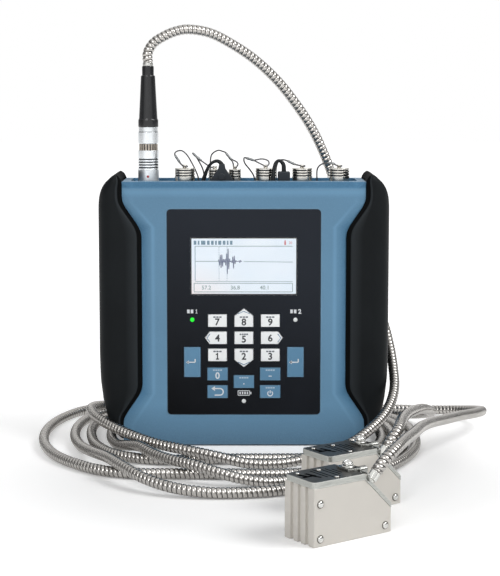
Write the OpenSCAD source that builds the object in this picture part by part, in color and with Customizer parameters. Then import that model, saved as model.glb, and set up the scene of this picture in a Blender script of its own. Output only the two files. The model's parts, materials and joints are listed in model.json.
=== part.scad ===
/* [Main unit] */
// Width over the two side grips
body_w = 226; // [220:1:236]
// Height of the blue front above the table
body_h = 206.5; // [202:0.5:214]
// Depth from the front face to the back face
body_d = 59; // [56:0.5:68]
// Wall of the two shells at front and back
wall = 3; // [2.6:0.1:3.6]
// How far the blue plateaus stand proud of the shells' core
plateau_t = 3; // [2.4:0.1:3.6]
// Thickness of the sealing ring between the shells
seal_t = 1.6; // [1.2:0.1:2.4]
// Corner radius of the grips seen from above
grip_r = 13; // [9:0.5:16]
// Rise of the grips' ears over the blue front
ear_rise = 7.5; // [5:0.5:9]

/* [Front panel] */
// Width of the dark front panel
panel_w = 118.6; // [116:0.2:122]
// Height of the dark front panel
panel_h = 160.3; // [158:0.2:163]
// Height of the panel's lower edge above the table
panel_z = 25.2; // [24:0.2:27]
// Thickness of the panel
panel_t = 1.5; // [1.2:0.1:2]
// Corner radius of the panel
panel_r = 2.8; // [1.5:0.1:4]
// Width of the display window
window_w = 82.7; // [80:0.1:84]
// Height of the display window
window_h = 45; // [43:0.1:46]
// Share of the free height above the keys that lies under the window
window_share = 0.194; // [0.16:0.002:0.23]

/* [Keys] */
// Width of a white key
key_w = 14.4; // [13:0.1:15]
// Height of a white key
key_h = 9.6; // [9:0.1:10.4]
// Width of a low blue key
low_key_w = 15.7; // [14.5:0.1:16.4]
// Width of a tall blue key
tall_key_w = 12.7; // [11.5:0.1:13.2]
// Height of a tall blue key
tall_key_h = 23.4; // [20:0.2:26]
// Distance between the columns of keys
key_pitch_x = 20.45; // [20:0.05:21]
// Distance between the rows of white keys
key_pitch_z = 13.45; // [13:0.05:13.8]
// Stroke of a key
key_travel = 0.7; // [0.4:0.05:0.8]
// How far a key stands proud of the panel
key_proud = 1; // [0.8:0.1:1.4]
// Gap round a key in the panel
key_gap = 0.3; // [0.2:0.05:0.4]

/* [Top connectors] */
// Outer diameter of a large protective cap
cap_d = 16.2; // [15:0.1:16.8]
// Outer diameter of a small protective cap
small_cap_d = 10.4; // [9.6:0.1:11]
// Height of a large cap over its socket's flange
cap_h = 10.6; // [9:0.1:12]
// Height of a small cap over its socket's flange
small_cap_h = 9.2; // [8:0.1:10]
// Thickness of a socket's flange on the deck
flange_t = 2.8; // [2:0.1:3.4]
// Wire diameter of the cap lanyards
lanyard_d = 1; // [0.8:0.1:1.2]
// Diameter of the plug's locking sleeve
plug_d = 16.4; // [15.6:0.1:17]
// Stroke of the plug's locking sleeve
sleeve_travel = 2.5; // [1.5:0.1:3]

/* [Transducers] */
// Length of a transducer
transducer_l = 62; // [60:0.5:66]
// Width of a transducer
transducer_w = 30; // [28:0.5:33]
// Height of a transducer's plastic block
block_h = 36.8; // [35:0.1:38]
// Height of the block at its low end
low_end_h = 15.6; // [13:0.2:18]
// Length of the block's flat top
flat_top_l = 40.5; // [40:0.5:42]
// Thickness of the steel cover on the flat top
cover_t = 3.9; // [3:0.1:4.4]
// Thickness of the steel cover on the slope
slope_cover_t = 2.4; // [1.8:0.1:3]
// Diameter of the round rivets in the sides
rivet_d = 5.2; // [4.4:0.1:6]

/* [Conduits] */
// Outer diameter of the steel conduits
conduit_d = 8; // [7.6:0.05:8.1]
// Distance between the conduit's ribs
rib_pitch = 3.4; // [3.2:0.1:4]
// Depth of the groove between two ribs
rib_depth = 0.5; // [0.3:0.05:0.7]

/* [Hidden] */
$fn = 48;

// Colours
blue = [0.36, 0.51, 0.62];
key_blue = [0.37, 0.53, 0.65];
key_white = [0.88, 0.91, 0.93];
grip_black = [0.10, 0.12, 0.13];
panel_black = [0.16, 0.18, 0.21];
steel = [0.75, 0.76, 0.76];
dark_steel = [0.40, 0.42, 0.43];
beige = [0.80, 0.78, 0.76];
rubber_grey = [0.22, 0.24, 0.26];
board_green = [0.16, 0.35, 0.22];
display_grey = [0.80, 0.85, 0.90];
window_tint = [0.85, 0.92, 0.97];
lens_tint = [0.80, 0.86, 0.84];

// Overrun of a cut past the face that it opens
over = 0.5;
// Clearance between a rigid piece and the pocket that it sits in
fit = 0.2;
// Gap between a moving piece and its neighbours
slip = 0.3;

// Planes of the main unit
front_y = -body_d / 2;
back_y = body_d / 2;
core_front_y = front_y + plateau_t;
core_back_y = back_y - plateau_t;
parting_y = 5;
half_w = body_w / 2;

// Outlines of the right half, as shares of the half width and of the height
core_shares = [[0.790, 0], [0.806, 0.010], [0.880, 0.090], [0.935, 0.250], [0.942, 0.340],
    [0.942, 0.905], [0.925, 0.960], [0.832, 1.000]];
grip_shares = [[0.832, 0.024], [0.935, 0.087], [0.975, 0.160], [0.996, 0.247],
    [1.000, 0.339], [1.000, 0.900], [0.997, 0.930], [0.987, 0.953]];
ear_shares = [[0.973, 0.300], [0.952, 0.570], [0.907, 0.870], [0.858, 1.000], [0.832, 0.920]];
edge_share = 0.832;
waist_share = 0.699;
ridge_edge_share = 0.775;
ridge_waist_share = 0.631;
flare_low_shares = [0.102, 0.213];
flare_high_shares = [0.818, 0.925];
ridge_low_shares = [0.082, 0.200];
ridge_high_shares = [0.832, 0.925];
// Bevel along the top and bottom edges of a plateau
top_bevel = 5;
base_bevel = 1.6;
// Thickness of the slabs that a plateau is blended between
slab_t = 0.02;

// Space inside the shells
side_wall = 5;
cavity_w = 2 * (half_w * core_shares[1][0] - side_wall);
cavity_base = 9;
cavity_top_gap = 12;

// Deck that carries the connectors
deck_drop = 4.5;
deck_t = 2.5;
deck_inset = 25;
deck_w = body_w - 2 * deck_inset;
deck_front_y = -14;
deck_back_y = 20;
deck_ledge = 3;
deck_z = body_h - deck_drop;

// Panel and what sits behind it
panel_proud = 0.3;
panel_face_y = front_y - panel_proud;
panel_back_y = panel_face_y + panel_t;
window_t = 1.2;
window_sink = 0.2;
keypad_w = 100;
keypad_h = 81;
keypad_rise = 9.5;
keypad_z = panel_z + keypad_rise;
light_d = 3.5;
light_t = 2.2;
light_proud = 0.2;
light_x = 40;
light_rise = 74.6;
battery_light_rise = 10.5;
display_t = 6;
display_margin = 4;
display_seat_w = window_w + 2 * display_margin;
display_lip = 1;

// Keys: places across in key pitches, and heights above the panel's lower edge
flange_w = 0.9;
key_flange_t = 0.8;
low_key_h = 9.9;
key_top_rise = 73.9;
low_row_rise = 32;
point_row_rise = 26;
last_row_rise = 18.1;
tall_row_rise = 41.4;
tall_x = 40;
arrow_tip = 4.6;
mat_t = 1.3;
display_floor = key_top_rise + key_h / 2 + arrow_tip + flange_w + display_margin + slip;
window_z = panel_z + display_floor + window_share * (panel_h - display_floor - window_h);
key_back_y = panel_back_y + slip + key_flange_t;
mat_front_y = key_back_y + key_travel + fit;

// Sockets along the deck, as shares of its half width
plug_share = -0.851;
large_cap_shares = [-0.528, 0.194, 0.520, 0.850];
small_cap_shares = [-0.2625, -0.0807];
wide_cover_share = -0.1955;
narrow_cover_share = 0.3557;
plug_x = plug_share * deck_w / 2;
small_cap_y = 9;
flange_margin = 1.4;
barrel_wall = 1.6;
socket_depth = 14;
cap_wall = 1.2;
cap_groove = 0.7;
cap_groove_h = 1.4;
cap_groove_pitch = 3.0;
knob_d = 3.6;
knob_h = 2.7;
wide_cover_x = wide_cover_share * deck_w / 2;
wide_cover_y = -6;
wide_cover_w = 17;
wide_cover_h = 15;
wide_cover_t = 6;
wide_boss_d = 5;
wide_boss_h = 0.8;
narrow_cover_x = narrow_cover_share * deck_w / 2;
narrow_cover_y = -6;
narrow_cover_w = 9.6;
narrow_cover_h = 9;
narrow_cover_t = 9;
port_h = 2;
strap_d = 2.6;
strap_base_d = 4;
strap_base_h = 2;

// Plug, heights along its axis above the socket's flange
plug_collar_h = 9.2;
plug_grip_h = 10.7;
plug_ring_h = 4.7;
plug_neck_h = 5.4;
plug_barrel_h = 12.8;
boot_ring_h = 6;
boot_taper_h = 34;
boot_collar_h = 7.5;
ferrule_h = 2.6;
plug_neck_d = 14.4;
plug_barrel_d = 15.4;
boot_ring_d = 15.7;
boot_base_d = 14.5;
boot_top_d = 11;
boot_collar_d = 9.1;
plug_grooves = 4;
plug_groove_depth = 0.6;
sleeve_bore_gap = 0.05;
dot_d = 2;
red = [0.75, 0.12, 0.10];
plug_sleeve_wall = 2;
plug_core_d = plug_d - 2 * plug_sleeve_wall;
plug_base_z = deck_z + flange_t;
sleeve_z = plug_base_z + plug_collar_h + slip;
sleeve_h = plug_grip_h + plug_ring_h;
neck_z = sleeve_z + sleeve_h + sleeve_travel + slip;
barrel_z = plug_base_z + plug_collar_h + plug_grip_h + plug_ring_h + plug_neck_h + slip;
boot_z = barrel_z + plug_barrel_h;
ferrule_z = boot_z + boot_ring_h + boot_taper_h + boot_collar_h;

// Transducers: near lower corner and heading of each
front_place = [43, -294.3];
rear_place = [55.7, -228.5];
heading = 35.5;
end_grooves = 3;
groove_w = 3.2;
groove_depth = 2.4;
rivet_h = 1.4;
rivet_inset = 5;
entry_along = 52;
tube_d = 4.6;
tube_l = 5.5;
ferrule_d = 7;
ferrule_l = 6;
clamp_along = 34;
clamp_l = 10;
clamp_screw_along = 4.5;
clamp_roll_l = 6.5;
clamp_w = 13;
clamp_t = 1.6;
clamp_roll_d = 5;
clamp_screw_d = 8.4;
clamp_screw_h = 3.6;
clamp_screw_top_share = 0.8;
clamp_washer_t = 1;
clamp_shank_d = 4;
cover_screw_d = 2.6;
cover_screw_h = 0.6;
cover_line_w = 0.7;
slope_run = transducer_l - flat_top_l;
slope_drop = block_h - low_end_h;
slope_angle = atan2(slope_drop, slope_run);

// Splitter that joins the three conduits
splitter_l = 35;
splitter_w = 22;
splitter_h = 14;
splitter_r = 5;
splitter_x = -37.5;
splitter_y = 46;

// Conduit routes
floor_gap = 0.1;
ring_step = 22;
conduit_sides = 8;
ribbed_length = 290;
trunk_route = [[-74.9, 0, 298], [-74.9, 0, 305.5], [-70.5, 1, 313], [-63, 2, 318], [-54, 4, 322],
    [-43, 6, 323.8], [-27, 9, 321.2], [-11, 13, 313.5], [8, 18, 301], [27, 24, 283.5],
    [43, 30, 263.5], [54.5, 34, 246], [63, 37, 229], [69.5, 39, 213], [75, 40, 197], [82, 42, 176],
    [91, 43, 151], [100, 42, 126], [108.5, 39, 104], [114.5, 31, 86], [118, 17, 69],
    [119, -1, 55.5], [118, -21, 45], [113, -42, 36.5], [105, -62, 30], [94, -80, 24.5],
    [80, -95, 18.5], [62, -104, 13.5], [44, -108, 9], [24, -109, 6], [2, -107, 6],
    [-22, -101, 10], [-46, -92, 12.8], [-66, -79, 14], [-86, -62, 16.8], [-103, -45, 20],
    [-115, -27, 22.5], [-121, -6, 22.5], [-123, 15, 21], [-120, 34, 18.5], [-109, 48, 16],
    [-93, 53, 13.9], [-78, 50, 9.5], [-65, 46, 7], [-55, 46, 7]];
front_route = [[-20, 50.5, 7], [-11, 50.5, 7], [4, 53, 5.5], [25, 53, 4], [55, 53, 4],
    [83, 51.7, 4], [105.8, 41.6, 4], [115, 18.5, 4], [117, -12, 4], [115, -38, 4], [108, -66, 7],
    [95, -95, 12.8], [74, -122, 12.8], [50, -142, 7], [25, -152, 4], [2, -152, 5.5],
    [-18, -147.5, 9.5], [-36, -138, 12.8], [-52, -124, 12.8], [-66, -106, 12.8],
    [-77, -87, 13.6], [-88, -66, 9.3], [-97, -45, 5], [-103.5, -22, 4], [-106, 4, 4],
    [-105, 28, 4], [-95, 49, 4], [-75, 61, 4], [-50, 62.5, 4], [-15, 62.5, 4], [25, 62, 4],
    [60, 62, 4], [88, 60.5, 4], [112, 48.5, 4], [123.5, 24.5, 4], [125.5, -4, 4], [124.5, -34, 4],
    [118, -64, 4], [105, -91, 4], [84, -112, 4], [58, -126, 4], [28, -131, 4], [0, -131, 4],
    [-28, -130, 4], [-56, -130, 4], [-80, -129, 4], [-102, -121, 4], [-122, -103, 4],
    [-140, -78, 4], [-152, -48, 4], [-158, -15, 4], [-158, 18, 4], [-152, 50, 4],
    [-139, 79, 4], [-118, 98, 4], [-92, 106, 4], [-60, 105, 4], [-25, 100, 4], [15, 96, 4],
    [55, 93, 4], [95, 90, 4], [130, 88, 4], [158, 83, 4.5], [180, 71, 7], [193, 52, 11],
    [195, 30, 15], [186, 6, 18.5], [170, -22, 22.5], [154, -55, 27], [139.5, -90, 32.5],
    [127.5, -128, 38], [117.5, -168, 42.5], [108.5, -200, 45.7], [101.5, -223, 46.8], [95.5, -236, 45.2],
    [89.8, -242.5, 41.4], [84.6, -246.2, 35.4]];
rear_route = [[-20, 41.5, 7], [-11, 41.5, 7], [4, 43, 5.5], [25, 44, 4], [50, 44.5, 4],
    [75, 43.5, 4], [97, 35.5, 4], [106.5, 16, 4], [108.5, -6, 4], [106.5, -30, 4], [99, -54, 4],
    [84, -73, 4], [62, -83, 4], [34, -86, 4], [6, -86, 4], [-22, -87, 4], [-50, -89.5, 4],
    [-76, -86, 4], [-98, -71, 4], [-113, -45, 4], [-120, -16, 4], [-122.5, 12, 4],
    [-120, 38, 4], [-109, 59, 4], [-88, 70, 4], [-60, 72, 4], [-20, 71.5, 4], [25, 71, 4],
    [65, 71, 4], [96, 69, 4], [119.5, 55.5, 4], [131.5, 29, 4], [134.5, 0, 4], [134, -32, 4],
    [128, -64, 4], [115, -95, 4], [97, -122, 4], [73, -146, 4], [46, -165, 4], [16, -178, 4],
    [-16, -182, 4], [-45, -178, 6], [-68, -165, 9.5], [-85, -144, 12.8], [-98, -118, 12.8],
    [-112, -86, 9], [-125, -50, 5], [-133.5, -14, 4], [-135, 22, 4], [-129, 54, 4],
    [-115, 78, 4], [-92, 88, 4], [-62, 89, 4], [-25, 86, 4], [15, 83, 4], [55, 81, 4],
    [90, 79, 4], [118, 72, 4], [139, 57, 6.5], [150, 35, 12], [151, 10, 18.5],
    [145, -16, 26], [136.5, -45, 33], [126.5, -78, 38.5], [118, -111, 43], [112.3, -139, 46],
    [109, -158, 46.8], [106, -170, 45], [102.2, -176.7, 41.4], [97.3, -180.4, 35.4]];

// Lanyards: start on the deck, bow and end on a cap's knob, in reach of the cap that it holds
lanyard_sides = 6;
lanyard_rings = 14;

// Right half of an outline, mirrored into a whole one
function mirrored(half) = concat(half, [for (i = [len(half) - 1:-1:0]) [-half[i][0], half[i][1]]]);
function scaled(shares) = [for (s = shares) [s[0] * half_w, s[1] * body_h]];
function ear_points() = [for (s = ear_shares)
    [s[0] * half_w, body_h * last(grip_shares)[1] +
        s[1] * (body_h * (1 - last(grip_shares)[1]) + ear_rise)]];
function last(list) = list[len(list) - 1];

// Solid over an outline in the XZ plane, from y0 to y1
module slab_xz(points, y0, y1) {
    translate([0, y1, 0]) rotate([90, 0, 0]) linear_extrude(y1 - y0) polygon(points);
}

// Box between two corners
module span(low, high) {
    translate(low) cube(high - low);
}

// Upright plate with rounded corners, centred in X, standing on z, from y0 to y1
module round_plate(w, h, z, y0, y1, r) {
    translate([0, y1, z]) rotate([90, 0, 0]) linear_extrude(y1 - y0) {
        translate([r - w / 2, 0]) square([w - 2 * r, h]);
        translate([-w / 2, r]) square([w, h - 2 * r]);
        for (x = [r - w / 2, w / 2 - r], y = [r, h - r]) translate([x, y]) circle(r);
    }
}

// One convex piece of a plateau, from its raised face to its foot
module plateau_piece(face, foot, side) {
    face_y = side * front_y;
    foot_y = side * core_front_y;
    hull() {
        slab_xz(face, min(face_y, face_y - side * slab_t), max(face_y, face_y - side * slab_t));
        slab_xz(foot, min(foot_y, foot_y + side * slab_t), max(foot_y, foot_y + side * slab_t));
    }
}

// Raised blue field on the front (side 1) or on the back (side -1)
module plateau(side) {
    top_face = body_h - top_bevel;
    rw = half_w * ridge_waist_share;
    re = half_w * ridge_edge_share;
    ww = half_w * waist_share;
    we = half_w * edge_share;
    plateau_piece(mirrored([[rw, base_bevel], [rw, top_face]]), mirrored([[ww, 0], [ww, body_h]]), side);
    plateau_piece(
        mirrored([[re, base_bevel], [re, body_h * ridge_low_shares[0]], [rw, body_h * ridge_low_shares[1]]]),
        mirrored([[we, 0], [we, body_h * flare_low_shares[0]], [ww, body_h * flare_low_shares[1]]]), side);
    plateau_piece(
        mirrored([[rw, body_h * ridge_high_shares[0]], [re, body_h * ridge_high_shares[1]], [re, top_face]]),
        mirrored([[ww, body_h * flare_high_shares[0]], [we, body_h * flare_high_shares[1]], [we, body_h]]),
        side);
}

// Space that both shells enclose, and the deck's seat with the opening under it
module shell_space() {
    span([-cavity_w / 2, core_front_y + wall, cavity_base],
        [cavity_w / 2, core_back_y - wall, body_h - cavity_top_gap]);
    span([-deck_w / 2, deck_front_y, deck_z - deck_t], [deck_w / 2, deck_back_y, body_h + over]);
    span([deck_ledge - deck_w / 2, deck_front_y + deck_ledge, body_h - cavity_top_gap - over],
        [deck_w / 2 - deck_ledge, deck_back_y - deck_ledge, deck_z]);
}

// Front shell with the panel's seat and the openings behind it
module front_shell() {
    color(blue) difference() {
        union() {
            slab_xz(mirrored(scaled(core_shares)), core_front_y, parting_y - seal_t / 2);
            plateau(1);
        }
        shell_space();
        round_plate(panel_w + 2 * fit, panel_h + 2 * fit, panel_z - fit, front_y - over, panel_back_y,
            panel_r + fit);
        span([-keypad_w / 2, front_y, keypad_z],
            [keypad_w / 2, core_front_y + wall + over, keypad_z + keypad_h]);
        span([-display_seat_w / 2, front_y, window_z - display_margin],
            [display_seat_w / 2, core_front_y + wall + over, window_z + window_h + display_margin]);
        for (p = light_places()) translate([p[0], core_front_y + wall + over, p[1]])
            rotate([90, 0, 0]) cylinder(h = wall + plateau_t + over, d = light_d + 2 * fit);
    }
}

// Screws in the back: shares of the half width and of the height
screw_shares = [[0.55, 0.045], [0.55, 0.5], [0.55, 0.93]];
screw_d = 4;
screw_head_d = 7.4;
screw_head_h = 2.4;
screw_l = 14;
bay_w = 96;
bay_h = 78;
bay_z = 40;
bay_cover_t = 2.4;
bay_ledge = 3;

module at_screws() {
    for (s = screw_shares, side = [-1, 1])
        translate([side * s[0] * half_w, back_y, s[1] * body_h]) rotate([90, 0, 0]) children();
}

// Rear shell with the battery bay's opening and the screws' sunk holes
module rear_shell() {
    color(blue) difference() {
        union() {
            slab_xz(mirrored(scaled(core_shares)), parting_y + seal_t / 2, core_back_y);
            plateau(-1);
        }
        shell_space();
        span([-bay_w / 2, back_y - bay_cover_t, bay_z], [bay_w / 2, back_y + over, bay_z + bay_h]);
        span([bay_ledge - bay_w / 2, core_back_y - wall - over, bay_z + bay_ledge],
            [bay_w / 2 - bay_ledge, back_y, bay_z + bay_h - bay_ledge]);
        at_screws() {
            translate([0, 0, -over]) cylinder(h = screw_head_h + over, d = screw_head_d + 2 * fit);
            cylinder(h = screw_l + over, d = screw_d + 2 * fit);
        }
    }
}

module housing_screws() {
    color(steel) at_screws() difference() {
        union() {
            cylinder(h = screw_head_h, d = screw_head_d);
            cylinder(h = screw_l, d = screw_d);
        }
        translate([0, 0, -over]) cylinder(h = screw_head_h / 2 + over, d = screw_head_d / 2, $fn = 6);
    }
}

// Sealing ring between the two shells
module shell_seal() {
    color(grip_black) difference() {
        slab_xz(mirrored(scaled(core_shares)), parting_y - seal_t / 2, parting_y + seal_t / 2);
        shell_space();
        at_screws() cylinder(h = body_d, d = screw_d + 2 * fit);
    }
}

// One side's rubber grip, wrapped round the shells from front to back
module grip(side) {
    outline = concat(scaled(grip_shares), ear_points(), [[half_w * edge_share, body_h]],
        [[half_w * edge_share, body_h * flare_high_shares[1]],
        [half_w * waist_share, body_h * flare_high_shares[0]],
        [half_w * waist_share, body_h * flare_low_shares[1]],
        [half_w * edge_share, body_h * flare_low_shares[0]]]);
    color(grip_black) mirror([side < 0 ? 1 : 0, 0, 0]) difference() {
        intersection() {
            slab_xz(outline, front_y, back_y);
            linear_extrude(body_h + 2 * ear_rise) {
                translate([0, front_y + grip_r]) square([half_w, body_d - 2 * grip_r]);
                translate([0, front_y]) square([half_w - grip_r, body_d]);
                for (y = [front_y + grip_r, back_y - grip_r]) translate([half_w - grip_r, y]) circle(grip_r);
            }
        }
        slab_xz(mirrored(scaled(core_shares)), core_front_y, core_back_y);
    }
}

// Places of the three status lights, across and up
function light_places() = [[-light_x, panel_z + light_rise], [light_x, panel_z + light_rise],
    [0, panel_z + battery_light_rise]];

// Each key as its place across and up, its width, its height and its kind
function white_x(col) = (col - 1) * key_pitch_x;
function white_z(row) = panel_z + key_top_rise - row * key_pitch_z;
function key_spot(name) =
    name == "7" ? [white_x(0), white_z(0), key_w, key_h, "plain"] :
    name == "8" ? [white_x(1), white_z(0), key_w, key_h, "up"] :
    name == "9" ? [white_x(2), white_z(0), key_w, key_h, "plain"] :
    name == "4" ? [white_x(0), white_z(1), key_w, key_h, "left"] :
    name == "5" ? [white_x(1), white_z(1), key_w, key_h, "plain"] :
    name == "6" ? [white_x(2), white_z(1), key_w, key_h, "right"] :
    name == "1" ? [white_x(0), white_z(2), key_w, key_h, "plain"] :
    name == "2" ? [white_x(1), white_z(2), key_w, key_h, "down"] :
    name == "3" ? [white_x(2), white_z(2), key_w, key_h, "plain"] :
    name == "0" ? [white_x(0), panel_z + low_row_rise, low_key_w, low_key_h, "plain"] :
    name == "minus" ? [white_x(2), panel_z + low_row_rise, low_key_w, low_key_h, "plain"] :
    name == "point" ? [0, panel_z + point_row_rise, low_key_w, low_key_h, "plain"] :
    name == "back" ? [white_x(0), panel_z + last_row_rise, low_key_w, low_key_h, "plain"] :
    name == "clear" ? [white_x(2), panel_z + last_row_rise, low_key_w, low_key_h, "plain"] :
    name == "enter_left" ? [-tall_x, panel_z + tall_row_rise, tall_key_w, tall_key_h, "plain"] :
    [tall_x, panel_z + tall_row_rise, tall_key_w, tall_key_h, "plain"];
key_names = ["0", "1", "2", "3", "4", "5", "6", "7", "8", "9", "minus", "point", "back", "clear",
    "enter_left", "enter_right"];

// Outline of a key round its centre, grown by a margin
function key_outline(spot, grow) =
    let (x = spot[2] / 2 + grow, z = spot[3] / 2 + grow, tip = arrow_tip + grow / 2)
    spot[4] == "up" ? [[-x, -z], [x, -z], [x, z - tip / 4], [0, z + tip], [-x, z - tip / 4]] :
    spot[4] == "down" ? [[-x, z], [-x, tip / 4 - z], [0, -z - tip], [x, tip / 4 - z], [x, z]] :
    spot[4] == "left" ? [[x, -z], [x, z], [-x + tip / 4, z], [-x - tip / 2, 0], [-x + tip / 4, -z]] :
    spot[4] == "right" ? [[-x, z], [-x, -z], [x - tip / 4, -z], [x + tip / 2, 0], [x - tip / 4, z]] :
    [[-x, -z], [x, -z], [x, z], [-x, z]];

module key_prism(spot, grow, y0, y1) {
    translate([spot[0], 0, spot[1]]) slab_xz(key_outline(spot, grow), y0, y1);
}

// A key: its cap through the panel and the flange that holds it in
module key(name, tint) {
    spot = key_spot(name);
    color(tint) {
        key_prism(spot, 0, panel_face_y - key_proud, key_back_y);
        key_prism(spot, flange_w, key_back_y - key_flange_t, key_back_y);
    }
}

module front_panel() {
    color(panel_black) difference() {
        round_plate(panel_w, panel_h, panel_z, panel_face_y, panel_back_y, panel_r);
        for (name = key_names) key_prism(key_spot(name), key_gap, panel_face_y - over, panel_back_y + over);
        span([-window_w / 2, panel_face_y - over, window_z],
            [window_w / 2, panel_face_y + window_sink + window_t, window_z + window_h]);
        span([display_lip - window_w / 2, panel_face_y, window_z + display_lip],
            [window_w / 2 - display_lip, panel_back_y + over, window_z + window_h - display_lip]);
        for (p = light_places()) translate([p[0], panel_back_y + over, p[1]])
            rotate([90, 0, 0]) cylinder(h = panel_t + 2 * over, d = light_d);
    }
}

module display_window() {
    color(window_tint) span([-window_w / 2, panel_face_y + window_sink, window_z],
        [window_w / 2, panel_face_y + window_sink + window_t, window_z + window_h]);
}

// Display behind the window, held by the panel's back
module display_module() {
    margin = display_margin - fit;
    color(display_grey) span([-window_w / 2 - margin, panel_back_y, window_z - margin],
        [window_w / 2 + margin, panel_back_y + display_t, window_z + window_h + margin]);
}

module status_lights() {
    color(lens_tint) for (p = light_places())
        translate([p[0], panel_face_y - light_proud + light_t, p[1]])
            rotate([90, 0, 0]) cylinder(h = light_t, d = light_d - slip / 2);
}

// Sheet with the contact pads under the keys
module key_mat() {
    margin = 1;
    color(rubber_grey) span([margin - keypad_w / 2, mat_front_y, keypad_z + margin],
        [keypad_w / 2 - margin, mat_front_y + mat_t, keypad_z + keypad_h - margin]);
}

board_t = 1.6;
board_margin = 5;
chip_h = 1.6;
board_y = max(mat_front_y + mat_t, panel_back_y + display_t);

// Main board with its larger chips, behind the display and the keys
module main_board() {
    board_w = cavity_w - 2 * board_margin;
    board_h = body_h - cavity_top_gap - cavity_base - 2 * board_margin;
    ear_z = cavity_base + board_h / 2;
    color(board_green) {
        span([-board_w / 2, board_y, cavity_base + board_margin],
            [board_w / 2, board_y + board_t, cavity_base + board_margin + board_h]);
        for (s = chip_shares)
            translate([s[0] * board_w, board_y + board_t, cavity_base + board_margin + s[1] * board_h])
                cube([s[2] * board_w, chip_h, s[3] * board_h]);
        span([-keypad_w / 4, mat_front_y + mat_t, keypad_z + keypad_h / 4],
            [keypad_w / 4, board_y, keypad_z + keypad_h / 2]);
        for (left_x = [-cavity_w / 2, cavity_w / 2 - board_margin])
            span([left_x, board_y, ear_z], [left_x + board_margin, board_y + board_t, ear_z + board_margin]);
    }
}
chip_shares = [[-0.40, 0.60, 0.12, 0.12], [-0.10, 0.70, 0.16, 0.10], [0.22, 0.62, 0.10, 0.10],
    [-0.35, 0.10, 0.10, 0.14], [0.20, 0.12, 0.14, 0.08]];

// Battery pack in the bay behind the board
module battery_pack() {
    gap = 1;
    pack_w = bay_w - 2 * bay_ledge - 2 * gap;
    color(rubber_grey) span([-pack_w / 2, board_y + board_t + chip_h + gap, bay_z + bay_ledge + gap],
        [pack_w / 2, back_y - bay_cover_t, bay_z + bay_h - bay_ledge - gap]);
}

module battery_cover() {
    finger_w = 18;
    finger_h = 5;
    color(blue) difference() {
        span([fit - bay_w / 2, back_y - bay_cover_t, bay_z + fit],
            [bay_w / 2 - fit, back_y, bay_z + bay_h - fit]);
        span([-finger_w / 2, back_y - bay_cover_t / 2, bay_z + bay_h - 2 * finger_h],
            [finger_w / 2, back_y + over, bay_z + bay_h - finger_h]);
    }
}

// Every socket as its place, outer diameter and kind
function large_spots() = [for (s = large_cap_shares) [s * deck_w / 2, 0, cap_d, cap_h]];
function small_spots() = [for (s = small_cap_shares) [s * deck_w / 2, small_cap_y, small_cap_d, small_cap_h]];
function plug_spot() = [plug_x, 0, plug_d, 0];
function cap_spots() = [large_spots()[0], small_spots()[0], small_spots()[1], large_spots()[1],
    large_spots()[2], large_spots()[3]];
function barrel_d(spot) = spot[2] - 2 * cap_wall - 2 * slip;

module connector_deck() {
    color(blue) difference() {
        span([-deck_w / 2, deck_front_y, deck_z - deck_t], [deck_w / 2, deck_back_y, deck_z]);
        for (s = concat(cap_spots(), [plug_spot()])) translate([s[0], s[1], deck_z - deck_t - over])
            cylinder(h = deck_t + 2 * over, d = barrel_d(s) + 2 * fit);
    }
}

// One socket: flange on the deck, barrel above and below it, and its contact insert
module socket(spot, rise) {
    d = barrel_d(spot);
    translate([spot[0], spot[1], deck_z]) difference() {
        union() {
            cylinder(h = flange_t, d = spot[2] + flange_margin);
            translate([0, 0, -socket_depth]) cylinder(h = socket_depth + flange_t + rise, d = d);
        }
        translate([0, 0, flange_t - rise]) cylinder(h = 2 * rise + over, d = d - 2 * barrel_wall);
    }
}

module sockets() {
    color(steel) {
        for (s = cap_spots()) socket(s, s[3] / 2);
        socket(plug_spot(), plug_collar_h / 3);
    }
}

module service_ports() {
    color(dark_steel) {
        span([wide_cover_x - wide_cover_w / 2, wide_cover_y - wide_cover_t / 2, deck_z],
            [wide_cover_x + wide_cover_w / 2, wide_cover_y + wide_cover_t / 2, deck_z + port_h]);
        span([narrow_cover_x - narrow_cover_w / 2, narrow_cover_y - narrow_cover_t / 2, deck_z],
            [narrow_cover_x + narrow_cover_w / 2, narrow_cover_y + narrow_cover_t / 2, deck_z + port_h]);
    }
}

// Cutter for a groove of the given height and depth round a cylinder
module ring_cut(h, d, depth) {
    difference() {
        cylinder(h = h, d = d + over);
        translate([0, 0, -over]) cylinder(h = h + 2 * over, d = d - 2 * depth);
    }
}

// Protective cap with ribbed side and the knob that its lanyard is tied to
module socket_cap(index) {
    spot = cap_spots()[index];
    d = spot[2];
    h = spot[3];
    color(steel) translate([spot[0], spot[1], deck_z + flange_t + slip]) difference() {
        union() {
            cylinder(h = h, d = d);
            translate([0, 0, h]) cylinder(h = knob_h, d = knob_d);
        }
        translate([0, 0, -over]) cylinder(h = h - cap_wall + over, d = d - 2 * cap_wall);
        for (z = [h - cap_groove_pitch:-cap_groove_pitch:cap_groove_pitch])
            translate([0, 0, z]) ring_cut(cap_groove_h, d, cap_groove);
    }
}

// Tapered rubber cover with its round boss
module rubber_cover_wide() {
    base_z = deck_z + port_h + slip;
    w = wide_cover_w / 2;
    foot_z = base_z + wide_cover_h / 5;
    neck_z = base_z + wide_cover_h * 3 / 4;
    half = [[w, base_z], [w, foot_z], [w / 3, neck_z], [w / 4, base_z + wide_cover_h]];
    color(rubber_grey) translate([wide_cover_x, wide_cover_y, 0]) {
        slab_xz(mirrored(half), -wide_cover_t / 2, wide_cover_t / 2);
        translate([0, -wide_cover_t / 2, base_z + wide_cover_h / 3]) rotate([90, 0, 0])
            cylinder(h = wide_boss_h, d = wide_boss_d);
    }
}

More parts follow.
